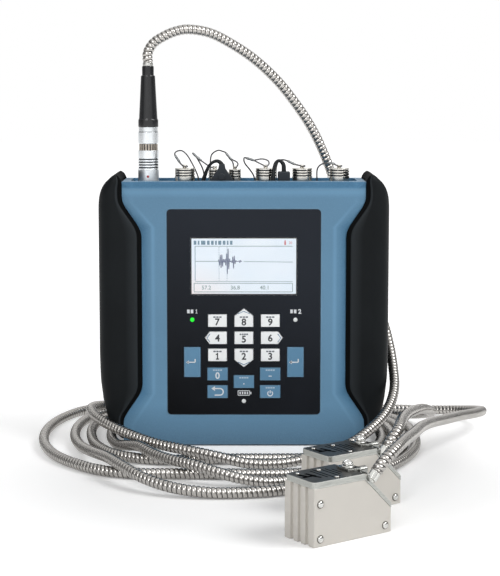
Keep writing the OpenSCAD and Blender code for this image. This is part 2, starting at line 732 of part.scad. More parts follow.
module rubber_cover_narrow() {
    base_z = deck_z + port_h + slip;
    color(rubber_grey) translate([narrow_cover_x, narrow_cover_y, 0]) {
        span([-narrow_cover_w / 2, -narrow_cover_t / 2, base_z],
            [narrow_cover_w / 2, narrow_cover_t / 2, base_z + narrow_cover_h]);
        translate([0, 0, base_z + narrow_cover_h]) cylinder(h = strap_d, d = strap_d);
    }
}

// Points between two ends along half a turn that rises by bow
function arch(from, to, bow, count) = [for (i = [0:count]) let (t = i / count)
    from + (to - from) * t + [0, 0, bow * sin(180 * t)]];

// Frames carried along a path without twist, and the tube round it
function unit(v) = v / norm(v);
function heading_at(path, i) = unit(path[min(i + 1, len(path) - 1)] - path[max(i - 1, 0)]);
function square_to(v, t) = unit(v - (v * t) * t);
steep_share = 0.7;
function first_side(t) = abs(t[2]) > steep_share ? square_to([0, 1, 0], t) : square_to([0, 0, 1], t);
function sides_along(path) = [for (i = 0, side = first_side(heading_at(path, 0)); i < len(path);
    i = i + 1, side = i < len(path) ? square_to(side, heading_at(path, i)) : side) side];
module tube(path, radii, count) {
    n = len(path);
    side = sides_along(path);
    across = [for (i = [0:n - 1]) cross(heading_at(path, i), side[i])];
    rings = [for (i = [0:n - 1], k = [0:count - 1])
        path[i] + radii[i] * (cos(360 * k / count) * side[i] + sin(360 * k / count) * across[i])];
    walls = [for (i = [0:n - 2], k = [0:count - 1]) let (a = i * count + k, b = i * count + (k + 1) % count)
        for (f = [[a, a + count, b], [b, a + count, b + count]]) f];
    top = (n - 1) * count;
    ends = [for (k = [1:count - 2]) for (f = [[0, k, k + 1], [top, top + k + 1, top + k]]) f];
    polyhedron(rings, concat(walls, ends));
}
function same(value, path) = [for (p = path) value];

// Cap lanyards: a steel wire from each cap's knob down to the deck beside it
lanyard_reaches = [[11.5, 4], [-9, 6], [7.5, 6], [-12.5, 4], [-12.5, 5], [-13, 4]];
lanyard_bows = [16, 14, 16, 15, 12, 11];
knob_seat_share = 0.55;
function lanyard_path(i) = let (s = cap_spots()[i], reach = lanyard_reaches[i],
        top = deck_z + flange_t + slip + s[3] + knob_h * knob_seat_share,
        side = reach[0] > 0 ? 1 : -1)
    arch([s[0] + side * (knob_d + lanyard_d) / 2, s[1], top],
        [s[0] + reach[0], s[1] + reach[1], deck_z + lanyard_d], lanyard_bows[i], lanyard_rings);
module cap_lanyards() {
    color(dark_steel) for (i = [0:len(lanyard_bows) - 1]) {
        path = lanyard_path(i);
        tube(path, same(lanyard_d / 2, path), lanyard_sides);
        translate([last(path)[0], last(path)[1], deck_z]) cylinder(h = lanyard_d, d = 2 * lanyard_d);
    }
}

// Rubber straps that hold the two covers
strap_rings = 16;
wide_strap_reach = [-15, 3];
narrow_strap_reach = [-8.4, -4.5];
wide_strap_bow = 9;
narrow_strap_bow = 9;
function strap_path(x, y, top, reach, bow) =
    arch([x, y, top], [x + reach[0], y + reach[1], deck_z + strap_base_h], bow, strap_rings);
module cover_strap(path) {
    tube(path, same(strap_d / 2, path), conduit_sides);
    translate([last(path)[0], last(path)[1], deck_z]) cylinder(h = strap_base_h, d = strap_base_d);
}
module cover_straps() {
    base_z = deck_z + port_h + slip;
    wide_top = base_z + wide_cover_h + strap_d / 2;
    narrow_top = base_z + narrow_cover_h + 3 * strap_d / 2;
    color(rubber_grey) {
        cover_strap(strap_path(wide_cover_x - strap_d, wide_cover_y, wide_top, wide_strap_reach,
            wide_strap_bow));
        cover_strap(strap_path(narrow_cover_x, narrow_cover_y, narrow_top, narrow_strap_reach,
            narrow_strap_bow));
    }
}

// Plug: fixed body, sliding sleeve and boot
module plug_body() {
    color(steel) translate([plug_x, 0, 0]) {
        difference() {
            union() {
                translate([0, 0, plug_base_z]) cylinder(h = plug_collar_h, d = plug_d);
                translate([0, 0, plug_base_z]) cylinder(h = barrel_z - plug_base_z, d = plug_core_d);
                translate([0, 0, neck_z]) cylinder(h = barrel_z - neck_z, d = plug_neck_d);
                translate([0, 0, barrel_z]) cylinder(h = plug_barrel_h, d = plug_barrel_d);
            }
            translate([0, 0, plug_base_z - over])
                cylinder(h = plug_collar_h / 2 + over, d = plug_d - 2 * cap_wall + fit);
        }
    }
    color(red) translate([plug_x, dot_d / 2 - plug_d / 2 - fit, plug_base_z + plug_collar_h / 2])
        rotate([90, 0, 0]) cylinder(h = dot_d / 2, d = dot_d);
}

module plug_sleeve() {
    pitch = plug_grip_h / (plug_grooves + 1);
    color(steel) translate([plug_x, 0, sleeve_z]) difference() {
        cylinder(h = sleeve_h, d = plug_d);
        translate([0, 0, -over]) cylinder(h = sleeve_h + 2 * over, d = plug_core_d + 2 * sleeve_bore_gap);
        for (i = [1:plug_grooves])
            translate([0, 0, i * pitch]) ring_cut(pitch / 3, plug_d, plug_groove_depth);
    }
}

module plug_boot() {
    color(grip_black) translate([plug_x, 0, boot_z]) {
        cylinder(h = boot_ring_h, d = boot_ring_d);
        translate([0, 0, boot_ring_h]) cylinder(h = boot_taper_h, d1 = boot_base_d, d2 = boot_top_d);
        translate([0, 0, boot_ring_h + boot_taper_h]) cylinder(h = boot_collar_h, d = boot_collar_d);
    }
}

// Point at share t between b and c on a smooth curve through a, b, c and d
function blend(a, b, c, d, t) = 0.5 * (2 * b + (c - a) * t + (2 * a - 5 * b + 4 * c - d) * t * t +
    (3 * b - a - 3 * c + d) * t * t * t);
fine_steps = 8;
function on_floor(p) = [p[0], p[1], max(p[2], conduit_d / 2 + floor_gap)];
function smooth(route) = let (n = len(route)) concat([for (i = [0:n - 2], k = [0:fine_steps - 1])
    on_floor(blend(i == 0 ? 2 * route[0] - route[1] : route[i - 1], route[i], route[i + 1],
        i == n - 2 ? 2 * last(route) - route[n - 2] : route[i + 2], k / fine_steps))],
    [on_floor(last(route))]);
function run_lengths(path) = [for (i = 0, s = 0; i < len(path); i = i + 1,
    s = i < len(path) ? s + norm(path[i] - path[i - 1]) : s) s];
function sampled(path, runs, stations) = [for (s = stations)
    [for (axis = [0:2]) lookup(s, [for (i = [0:len(path) - 1]) [runs[i], path[i][axis]]])]];
function even_stations(from, to, step) = let (n = max(2, ceil((to - from) / step)))
    [for (i = [0:n]) from + (to - from) * i / n];
function end_stations(length) = concat([0, conduit_d / 2],
    even_stations(conduit_d, length - conduit_d, ring_step), [length - conduit_d / 2, length]);

// Least gap between two stretches of one conduit that lie apart along it
gap_reach = 6;
function self_gap(path) = min([for (i = [0:len(path) - 1], j = [0:len(path) - 1])
    if (j > i + gap_reach) norm(path[i] - path[j])]) - conduit_d;

// A plain conduit along a route
module conduit(route) {
    path = smooth(route);
    runs = run_lengths(path);
    points = sampled(path, runs, end_stations(last(runs)));
    echo("least gap of the conduit to itself", self_gap(points), "length", last(runs));
    color(steel) tube(points, same(conduit_d / 2, points), conduit_sides);
}

// The trunk conduit, with its ribs where it arches over the unit
module trunk_conduit() {
    path = smooth(trunk_route);
    runs = run_lengths(path);
    rib_count = floor((ribbed_length - conduit_d) / rib_pitch);
    ribbed = [for (i = [0:rib_count - 1]) for (half = [0, 1])
        [conduit_d + (i + half / 2) * rib_pitch, conduit_d / 2 - half * rib_depth]];
    plain = [for (s = even_stations(conduit_d + rib_count * rib_pitch, last(runs) - conduit_d, ring_step))
        [s, conduit_d / 2]];
    stations = concat([[0, conduit_d / 2]], ribbed, plain, [[last(runs), conduit_d / 2]]);
    points = sampled(path, runs, [for (s = stations) s[0]]);
    sparse = [for (i = [0:gap_reach:len(points) - 1]) points[i]];
    echo("least gap of the trunk to itself", self_gap(sparse), "length", last(runs));
    color(steel) tube(points, [for (s = stations) s[1]], conduit_sides);
}

module front_conduit() {
    conduit(front_route);
}

module rear_conduit() {
    conduit(rear_route);
}

// Splitter block on the floor behind the unit
module conduit_splitter() {
    inner_h = splitter_h - 2 * splitter_r;
    inner_w = splitter_w - 2 * splitter_r;
    color(dark_steel) translate([splitter_x - splitter_l / 2, splitter_y, splitter_h / 2])
        rotate([0, 90, 0]) linear_extrude(splitter_l) {
            square([inner_h, splitter_w], center = true);
            square([splitter_h, inner_w], center = true);
            for (x = [-1, 1], y = [-1, 1]) translate([x * inner_h / 2, y * inner_w / 2]) circle(splitter_r);
        }
}

// Local frame of a transducer: along its length, across its width and up
module placed(place) {
    translate([place[0], place[1], 0]) rotate([0, 0, heading]) children();
}

// Side outline of the block, standing on its contact face
function block_points() = [[0, 0], [transducer_l, 0], [transducer_l, low_end_h], [flat_top_l, block_h],
    [0, block_h]];

module transducer_body() {
    pitch = transducer_w / (end_grooves + 1);
    color(beige) difference() {
        slab_xz(block_points(), 0, transducer_w);
        for (i = [1:end_grooves]) span([-over, i * pitch - groove_w / 2, -over],
            [groove_depth, i * pitch + groove_w / 2, block_h + over]);
    }
}

// Steel cover bent over the flat top and the slope
module transducer_cover() {
    rise = slope_cover_t / cos(slope_angle);
    run = cover_t > rise ? (cover_t - rise) * slope_run / slope_drop : 0;
    color(dark_steel) difference() {
        slab_xz([[0, block_h], [flat_top_l, block_h], [transducer_l, low_end_h],
            [transducer_l, low_end_h + rise], [flat_top_l - run, block_h + cover_t],
            [0, block_h + cover_t]], 0, transducer_w);
        slope_bore(tube_d + 2 * fit);
        translate([clamp_along + clamp_screw_along, transducer_w / 2, block_h - over])
            cylinder(h = cover_t + 2 * over, d = clamp_shank_d + 2 * fit);
    }
}

// Axis on which the thin tube enters the slope, drawn as a cylinder
module on_slope() {
    translate([entry_along, transducer_w / 2, block_h - (entry_along - flat_top_l) * slope_drop / slope_run])
        rotate([0, slope_angle, 0]) children();
}
module slope_bore(d) {
    on_slope() translate([0, 0, -over]) cylinder(h = 2 * slope_cover_t, d = d);
}

// Thin tube out of the slope and the ferrule that holds the conduit
module conduit_fitting() {
    on_slope() {
        cylinder(h = slope_cover_t + tube_l, d = tube_d);
        translate([0, 0, slope_cover_t + tube_l]) cylinder(h = ferrule_l, d = ferrule_d);
    }
}

// Clamp plate with its rolled end, on the cover
module clamp() {
    base_z = block_h + cover_t;
    middle = transducer_w / 2;
    color(steel) difference() {
        union() {
            span([clamp_along, middle - clamp_w / 2, base_z],
                [clamp_along + clamp_l, middle + clamp_w / 2, base_z + clamp_t]);
            translate([clamp_along + clamp_l, middle - clamp_w / 4, base_z + clamp_t - clamp_roll_d / 2])
                rotate([0, 90, 0]) cylinder(h = clamp_roll_l, d = clamp_roll_d);
        }
        translate([clamp_along + clamp_screw_along, middle, base_z - over])
            cylinder(h = clamp_t + 2 * over, d = clamp_shank_d + 2 * fit);
    }
}

module clamp_screw() {
    base_z = block_h + cover_t + clamp_t;
    head_z = base_z + slip / 3 + clamp_washer_t;
    color(steel) translate([clamp_along + clamp_screw_along, transducer_w / 2, 0]) difference() {
        union() {
            translate([0, 0, block_h + cover_t / 2])
                cylinder(h = cover_t / 2 + clamp_t + clamp_washer_t, d = clamp_shank_d);
            translate([0, 0, head_z - clamp_washer_t]) cylinder(h = clamp_washer_t, d = clamp_screw_d);
            translate([0, 0, head_z]) cylinder(h = clamp_screw_h / 2, d1 = clamp_screw_d,
                d2 = clamp_screw_d * clamp_screw_top_share);
        }
        translate([-clamp_screw_d, -cover_line_w / 2, head_z + clamp_screw_h / 4])
            cube([2 * clamp_screw_d, cover_line_w, clamp_screw_h]);
    }
}

// Round rivet heads in both sides and the small screws in the cover
module transducer_rivets() {
    spots = [[rivet_inset, rivet_inset], [rivet_inset, block_h - 2 * rivet_inset],
        [transducer_l - rivet_inset, rivet_inset]];
    color(steel) for (place = [front_place, rear_place]) placed(place) {
        for (s = spots, side = [0, 1])
            translate([s[0], side * transducer_w, s[1]]) rotate([90 - 180 * side, 0, 0])
                cylinder(h = rivet_h, d1 = rivet_d, d2 = rivet_d / 2);
        for (s = cover_screw_shares) translate([s[0] * flat_top_l, s[1] * transducer_w, block_h + cover_t])
            cylinder(h = cover_screw_h, d = cover_screw_d);
    }
}
cover_screw_shares = [[0.15, 0.82], [0.55, 0.80], [0.52, 0.14]];

module conduit_fittings() {
    color(steel) {
        for (place = [front_place, rear_place]) placed(place) conduit_fitting();
        translate([plug_x, 0, ferrule_z]) cylinder(h = ferrule_h, d = conduit_d);
    }
}

front_shell();
rear_shell();
shell_seal();
grip(-1);  // left_grip
grip(1);  // right_grip
front_panel();
display_window();
display_module();
main_board();
key_mat();
battery_pack();
battery_cover();
connector_deck();
status_lights();
key("0", key_blue);  // key_0
key("1", key_white);  // key_1
key("2", key_white);  // key_2
key("3", key_white);  // key_3
key("4", key_white);  // key_4
key("5", key_white);  // key_5
key("6", key_white);  // key_6
key("7", key_white);  // key_7
key("8", key_white);  // key_8
key("9", key_white);  // key_9
key("minus", key_blue);  // key_minus
key("point", key_blue);  // key_point
key("back", key_blue);  // key_back
key("clear", key_blue);  // key_clear
key("enter_left", key_blue);  // key_enter_left
key("enter_right", key_blue);  // key_enter_right
sockets();
service_ports();
socket_cap(0);  // socket_cap_1
socket_cap(1);  // socket_cap_2
socket_cap(2);  // socket_cap_3
socket_cap(3);  // socket_cap_4
socket_cap(4);  // socket_cap_5
socket_cap(5);  // socket_cap_6
cap_lanyards();
rubber_cover_wide();
rubber_cover_narrow();
cover_straps();
plug_body();
plug_sleeve();
plug_boot();
trunk_conduit();
conduit_splitter();
front_conduit();
rear_conduit();
placed(front_place) transducer_body();  // front_transducer_body
placed(rear_place) transducer_body();  // rear_transducer_body
placed(front_place) transducer_cover();  // front_transducer_cover
placed(rear_place) transducer_cover();  // rear_transducer_cover
placed(front_place) clamp();  // front_clamp
placed(rear_place) clamp();  // rear_clamp
placed(front_place) clamp_screw();  // front_clamp_screw
placed(rear_place) clamp_screw();  // rear_clamp_screw
transducer_rivets();
conduit_fittings();
housing_screws();
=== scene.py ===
import json
import math

import bmesh
import bpy
import numpy as np
from mathutils import Matrix, Vector


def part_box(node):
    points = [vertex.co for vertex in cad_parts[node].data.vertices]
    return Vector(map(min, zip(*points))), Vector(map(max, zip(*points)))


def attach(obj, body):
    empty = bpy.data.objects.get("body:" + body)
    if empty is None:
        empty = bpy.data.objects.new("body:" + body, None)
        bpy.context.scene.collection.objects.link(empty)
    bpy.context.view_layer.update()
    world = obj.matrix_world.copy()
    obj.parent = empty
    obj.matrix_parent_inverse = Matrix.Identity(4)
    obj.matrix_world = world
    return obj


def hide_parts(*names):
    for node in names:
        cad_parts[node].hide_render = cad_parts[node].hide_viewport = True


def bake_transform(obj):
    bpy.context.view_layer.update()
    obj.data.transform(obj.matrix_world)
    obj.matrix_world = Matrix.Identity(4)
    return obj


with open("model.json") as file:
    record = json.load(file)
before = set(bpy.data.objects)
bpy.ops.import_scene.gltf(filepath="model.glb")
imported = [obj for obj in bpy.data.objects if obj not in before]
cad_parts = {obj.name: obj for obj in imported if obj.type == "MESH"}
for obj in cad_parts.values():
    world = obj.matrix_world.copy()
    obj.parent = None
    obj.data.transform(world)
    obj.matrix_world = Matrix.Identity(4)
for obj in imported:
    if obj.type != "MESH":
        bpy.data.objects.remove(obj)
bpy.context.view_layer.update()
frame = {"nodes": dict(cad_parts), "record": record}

bl_info = {
    "name": "Ultrasonic flow meter",
    "version": (1, 0, 0),
    "blender": (4, 5, 0),
    "location": "3D View > Sidebar > Flow meter",
    "description": "Dresses the packed flow meter: conduits, finishes, marks and stage",
    "category": "Object",
}

MM = 0.001
UP, FRONT, ASIDE = Vector((0, 0, 1)), Vector((0, -1, 0)), Vector((1, 0, 0))
WHITE = (1, 1, 1, 1)
# Heading of both transducers on the table
HEADING = math.radians(35.5)


# Colours and small sums

def tone(*parts):
    """Linear colour of an sRGB one given from 0 to 255."""
    shares = [part / 255 for part in parts]
    return tuple(share / 12.92 if share <= 0.04045 else ((share + 0.055) / 1.055) ** 2.4 for share in shares)


def shade(value, factor):
    """A colour made darker or lighter by a factor."""
    return tuple(min(1.0, part * factor) for part in value[:3])


def mm(*values):
    """A point given in millimetres."""
    return Vector(values) * MM


def box_mm(node):
    """A node's lowest and highest corners in millimetres."""
    return [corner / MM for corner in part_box(node)]


def wave(degrees):
    """Cosine and sine of an angle."""
    return math.cos(math.radians(degrees)), math.sin(math.radians(degrees))


# Sizes and colours that a user would change

class FlowMeterSizes(bpy.types.PropertyGroup):
    """Sizes of the dressing"""
    conduit_d: bpy.props.FloatProperty(
        name="Conduit diameter", description="Outer diameter of the steel conduits",
        default=8 * MM, min=7 * MM, max=9 * MM, unit="LENGTH", precision=4)
    rib_pitch: bpy.props.FloatProperty(
        name="Rib pitch", description="Distance between two ribs of the conduits",
        default=3.4 * MM, min=2.6 * MM, max=5 * MM, unit="LENGTH", precision=4)
    rib_depth: bpy.props.FloatProperty(
        name="Rib depth", description="Depth of the groove between two ribs",
        default=0.75 * MM, min=0.3 * MM, max=1 * MM, unit="LENGTH", precision=4)
    wire_d: bpy.props.FloatProperty(
        name="Lanyard wire", description="Diameter of the cap lanyards' steel wire",
        default=1.15 * MM, min=0.6 * MM, max=1.4 * MM, unit="LENGTH", precision=4)
    strap_d: bpy.props.FloatProperty(
        name="Strap diameter", description="Diameter of the rubber covers' straps",
        default=3.0 * MM, min=2 * MM, max=3.4 * MM, unit="LENGTH", precision=4)
    grip_rim: bpy.props.FloatProperty(
        name="Grip rim", description="Width of the low rim along each grip's inner edge",
        default=3.2 * MM, min=1 * MM, max=5 * MM, unit="LENGTH", precision=4)
    shell_bevel: bpy.props.FloatProperty(
        name="Shell edge radius", description="Rounding of the blue shells' edges",
        default=1.6 * MM, min=0.4 * MM, max=2.5 * MM, unit="LENGTH", precision=4)
    mark_t: bpy.props.FloatProperty(
        name="Print thickness", description="Thickness of the printed marks",
        default=0.06 * MM, min=0.02 * MM, max=0.2 * MM, unit="LENGTH", precision=5)


class FlowMeterColours(bpy.types.PropertyGroup):
    """Base colours of the finishes"""
    body: bpy.props.FloatVectorProperty(
        name="Body", description="Blue of the shells", subtype="COLOR", size=3,
        default=tone(91, 130, 158), min=0, max=1)
    grip: bpy.props.FloatVectorProperty(
        name="Grips", description="Black of the rubber grips", subtype="COLOR", size=3,
        default=tone(20, 23, 25), min=0, max=1)
    panel: bpy.props.FloatVectorProperty(
        name="Panel", description="Dark grey of the front panel", subtype="COLOR", size=3,
        default=tone(36, 40, 47), min=0, max=1)
    white_key: bpy.props.FloatVectorProperty(
        name="White keys", description="Off-white of the number keys", subtype="COLOR", size=3,
        default=tone(250, 253, 255), min=0, max=1)
    blue_key: bpy.props.FloatVectorProperty(
        name="Blue keys", description="Blue of the function keys", subtype="COLOR", size=3,
        default=tone(91, 138, 171), min=0, max=1)
    block: bpy.props.FloatVectorProperty(
        name="Transducers", description="Beige of the transducers' blocks", subtype="COLOR", size=3,
        default=tone(205, 201, 194), min=0, max=1)
    steel: bpy.props.FloatVectorProperty(
        name="Steel", description="Tint of the steel conduits", subtype="COLOR", size=3,
        default=tone(178, 175, 171), min=0, max=1)


def sizes():
    return bpy.context.scene.flow_meter_sizes


def colours():
    return bpy.context.scene.flow_meter_colours


# Node trees

def add_node(tree, kind, inputs=None, **settings):
    """One shader node with its settings, and with sockets linked or set to constants."""
    node = tree.nodes.new("ShaderNode" + kind)
    for key, value in settings.items():
        setattr(node, key, value)
    for key, value in (inputs or {}).items():
        if isinstance(value, bpy.types.NodeSocket):
            tree.links.new(value, node.inputs[key])
        else:
            node.inputs[key].default_value = value
    return node


def calculated(tree, operation, *values, clamp=False):
    """A Math node's result; values are sockets or numbers."""
    return add_node(tree, "Math", dict(enumerate(values)), operation=operation, use_clamp=clamp).outputs[0]


def moved(tree, operation, *vectors):
    """A Vector Math node's result as a vector."""
    return add_node(tree, "VectorMath", dict(enumerate(vectors)), operation=operation).outputs["Vector"]


def ranged(tree, value, low, high, from_low=0.0, from_high=1.0):
    """A value led from one range to another."""
    return add_node(tree, "MapRange", {
        "Value": value, "From Min": from_low, "From Max": from_high, "To Min": low, "To Max": high}).outputs["Result"]


def mixed(tree, share, first, second, blend="MIX"):
    """Colour between two others by a share, each a socket or a constant."""
    node = add_node(tree, "Mix", data_type="RGBA", blend_type=blend)
    for index, value in ((0, share), (6, first), (7, second)):
        if isinstance(value, bpy.types.NodeSocket):
            tree.links.new(value, node.inputs[index])
        else:
            node.inputs[index].default_value = value if index == 0 else (*value[:3], 1)
    return node.outputs[2]


def layered(tree, colour, *layers):
    """A colour with others laid over it, each by its mask."""
    for mask, over in layers:
        colour = mixed(tree, mask, colour, over)
    return colour


def place_of(tree):
    return add_node(tree, "TexCoord").outputs["Object"]


def parts(tree, vector):
    return add_node(tree, "SeparateXYZ", {"Vector": vector}).outputs


def normal_parts(tree):
    return parts(tree, add_node(tree, "NewGeometry").outputs["Normal"])


def noise(tree, scale, detail, rough=0.5, place=None):
    """A noise texture's value in the object's own coordinates, or in those given."""
    where = place_of(tree) if place is None else place
    return add_node(tree, "TexNoise", {
        "Vector": where, "Scale": scale, "Detail": detail, "Roughness": rough}).outputs["Fac"]


def grey_ramp(tree, value, steps):
    """A strength that changes along steps of (place, strength)."""
    ramp = add_node(tree, "ValToRGB", {"Fac": value})
    marks = ramp.color_ramp.elements
    marks.remove(marks[1])
    marks[0].position, marks[0].color = steps[0][0], (steps[0][1],) * 3 + (1,)
    for place, strength in steps[1:]:
        marks.new(place).color = (strength,) * 3 + (1,)
    return ramp.outputs["Color"]


# Shader groups that the finishes share

def new_group(name, inputs, outputs):
    """An empty shader group: inputs as labels with their defaults, outputs as labels."""
    group = bpy.data.node_groups.new(name, "ShaderNodeTree")
    for label, default in inputs.items():
        kind = "NodeSocketVector" if isinstance(default, tuple) else "NodeSocketFloat"
        group.interface.new_socket(label, in_out="INPUT", socket_type=kind).default_value = default
    for label in outputs:
        group.interface.new_socket(label, in_out="OUTPUT", socket_type="NodeSocketFloat")
    return group, group.nodes.new("NodeGroupInput").outputs, group.nodes.new("NodeGroupOutput").inputs


def grain_group(name):
    """Moulded grain: a fine pebbled height and a slow mottle."""
    group, given, result = new_group(name, {"Scale": 1500.0, "Mottle Scale": 25.0}, ("Height", "Mottle"))
    place = place_of(group)
    cells = add_node(group, "TexVoronoi", {
        "Vector": place, "Scale": given["Scale"], "Smoothness": 0.6}, feature="SMOOTH_F1").outputs["Distance"]
    height = calculated(group, "MULTIPLY_ADD", cells, 0.6, noise(group, given["Scale"], 3.0, 0.6, place))
    group.links.new(height, result["Height"])
    group.links.new(noise(group, given["Mottle Scale"], 4.0, 0.55, place), result["Mottle"])
    return group


def wear_and_highlight_group(name):
    """Worn edges and painted edge highlight: a mask along outer edges, found from inside the piece and broken up by
    noise.
    """
    group, given, result = new_group(name, {"Amount": 0.5, "Scale": 220.0, "Reach": 0.9 * MM}, ("Mask",))
    inner = add_node(group, "AmbientOcclusion", {"Distance": given["Reach"]}, inside=True, only_local=True, samples=4)
    sharp = ranged(group, inner.outputs["AO"], 0.0, 1.0, 0.93, 0.55)
    broken = calculated(group, "MULTIPLY", sharp, noise(group, given["Scale"], 3.0))
    group.links.new(calculated(group, "MULTIPLY", broken, given["Amount"], clamp=True), result["Mask"])
    return group


def brushed_group(name):
    """Brushed lines: a height and a streak mask stretched along one direction."""
    group, given, result = new_group(name, {"Stretch": (60.0, 2500.0, 2500.0), "Turn": (0, 0, 0)}, ("Height", "Streak"))
    along = add_node(group, "Mapping", {"Vector": place_of(group), "Rotation": given["Turn"]}).outputs["Vector"]
    lines = noise(group, 1.0, 4.0, 0.7, moved(group, "MULTIPLY", along, given["Stretch"]))
    group.links.new(lines, result["Height"])
    group.links.new(ranged(group, lines, 0.0, 1.0, 0.35, 0.65), result["Streak"])
    return group


def dust_group(name):
    """Settled dust: a faint mask on faces that look up."""
    group, given, result = new_group(name, {"Amount": 0.2, "Scale": 90.0}, ("Mask",))
    up = ranged(group, normal_parts(group)["Z"], 0.0, 1.0, 0.55, 0.95)
    specks = calculated(group, "MULTIPLY", up, noise(group, given["Scale"], 6.0, 0.75))
    group.links.new(calculated(group, "MULTIPLY", specks, given["Amount"], clamp=True), result["Mask"])
    return group


def place_group(tree, name, maker, inputs):
    group = bpy.data.node_groups.get(name) or maker(name)
    return add_node(tree, "Group", inputs, node_tree=group).outputs


def grain_on(tree, scale=1500.0, mottle=25.0):
    return place_group(tree, "Moulded grain", grain_group, {"Scale": scale, "Mottle Scale": mottle})


def wear_and_highlight_on(tree, amount, reach=0.9 * MM):
    return place_group(tree, "Edge wear", wear_and_highlight_group, {"Amount": amount, "Reach": reach})["Mask"]


def lines_on(tree, stretch, turn=(0, 0, 0)):
    return place_group(tree, "Brushed lines", brushed_group, {"Stretch": stretch, "Turn": turn})


def dust_on(tree, amount, scale=90.0):
    return place_group(tree, "Settled dust", dust_group, {"Amount": amount, "Scale": scale})["Mask"]


# Finishes

def principled(name, **constants):
    """A material with only its Principled shader, and the shader's plain sockets set."""
    material = bpy.data.materials.new(name)
    material.use_nodes = True
    shader = material.node_tree.nodes["Principled BSDF"]
    for key, value in constants.items():
        shader.inputs[key.replace("_", " ")].default_value = value
    return material, material.node_tree, shader


def connect(tree, shader, colour, rough=None, height=None, depth=0.0):
    """Feeds a shader its colour, its roughness and bumps of a depth in millimetres."""
    tree.links.new(colour, shader.inputs["Base Color"])
    if rough:
        tree.links.new(rough, shader.inputs["Roughness"])
    if height:
        bump = add_node(tree, "Bump", {"Height": height, "Distance": depth * MM, "Strength": 1.0})
        tree.links.new(bump.outputs["Normal"], shader.inputs["Normal"])


def light_up(tree, shader, glow):
    """Feeds a lit surface its light, and the dark ground under it."""
    tree.links.new(glow, shader.inputs["Emission Color"])
    connect(tree, shader, mixed(tree, 0.85, glow, (0.02, 0.02, 0.02)))


def plastic(name, base, grain=1500.0, depth=0.02, rough=0.5, mottle=0.06, wear=0.25, dust=0.1, specular=0.5):
    """Moulded plastic or painted skin: pebbled grain, slow mottle, lighter edges that are partly worn and partly a
    painted highlight.
    """
    material, tree, shader = principled(name, Specular_IOR_Level=specular)
    skin = grain_on(tree, grain)
    colour = layered(
        tree, shade(base, 1 - mottle), (ranged(tree, skin["Mottle"], 0.0, 1.0, 0.3, 0.7), shade(base, 1 + mottle)),
        (wear_and_highlight_on(tree, wear), tuple(0.5 * part + 0.35 for part in base[:3])),
        (dust_on(tree, dust), tone(190, 188, 184)))
    even = ranged(tree, skin["Mottle"], rough - 0.06, rough + 0.06, 0.3, 0.7)
    connect(tree, shader, colour, even, skin["Height"], depth)
    return material


def metal(name, base, rough=0.25, stretch=(60, 2500, 2500), turn=(0, 0, 0), depth=0.004, streaks=0.12, wear=0.3):
    """Bare metal: brushed lines, uneven polish and bright edges that are partly worn and partly a painted highlight."""
    material, tree, shader = principled(name, Metallic=1.0)
    lines = lines_on(tree, stretch, turn)
    colour = layered(tree, shade(base, 1 - streaks), (lines["Streak"], shade(base, 1 + streaks)),
                     (wear_and_highlight_on(tree, wear), tone(235, 235, 232)))
    connect(tree, shader, colour, ranged(tree, lines["Streak"], rough - 0.05, rough + 0.07), lines["Height"], depth)
    return material


# Painted shade on the slanted faces: shares of the body's colour that they keep
BEVEL_SHADE = (0.32, 0.56, 0.67)
# The raised field of the shells: half widths, heights at which it widens, and its top
FIELD_WAIST, FIELD_EDGE = 71.3 * MM, 87.6 * MM
FIELD_LOW, FIELD_HIGH = (16.9 * MM, 41.3 * MM), (171.8 * MM, 191.0 * MM)
FIELD_TOP = 201.5 * MM
# The body's height, and the painted shade and light on its tone from its foot to its top
BODY_TOP = 206.5 * MM
BODY_SHADE_STEPS = ((0.0, 0.05), (0.063, 0.46), (0.1, 0.64), (0.16, 0.9), (0.23, 0.86), (0.46, 0.73), (0.7, 0.7), (0.9, 0.6))


def field_shade_and_highlight(tree):
    """Masks of the painted shade on the slanted faces round the shells' raised field, and of the painted highlight on
    the ridge beside them and under the field's top.
    """
    def result(operation, *values):
        return calculated(tree, operation, *values)

    def size(value):
        return result("ABSOLUTE", value)

    place = parts(tree, place_of(tree))
    flare = result("MAXIMUM", ranged(tree, place["Z"], 1.0, 0.0, *FIELD_LOW),
                   ranged(tree, place["Z"], 0.0, 1.0, *FIELD_HIGH))
    edge = result("MULTIPLY_ADD", flare, FIELD_EDGE - FIELD_WAIST, FIELD_WAIST)
    beside, above = result("SUBTRACT", size(place["X"]), edge), result("SUBTRACT", place["Z"], FIELD_TOP)
    waist = ranged(tree, flare, 1.0, 0.25)
    # Painted shade on the slanted faces beside the field and above its top
    side = result("MULTIPLY", ranged(tree, beside, 0.0, 0.72, -0.4 * MM, 6.0 * MM), waist)
    slanted = result("MAXIMUM", side, ranged(tree, above, 0.0, 1.0, -0.5 * MM, 0.8 * MM))
    # Painted highlight along the ridge beside the field and along the brow under its top
    near = size(result("ADD", beside, 1.2 * MM))
    ridge = result("MULTIPLY", ranged(tree, near, 1.0, 0.0, 0.3 * MM, 2.2 * MM), waist)
    brow = ranged(tree, size(result("ADD", above, 2.8 * MM)), 1.0, 0.0, 0.6 * MM, 4.5 * MM)
    front = ranged(tree, size(normal_parts(tree)["Y"]), 0.0, 1.0, 0.6, 0.8)
    return (result("MULTIPLY", slanted, front),
            result("MULTIPLY", result("MAXIMUM", ridge, brow), result("MULTIPLY", front, 0.24)))


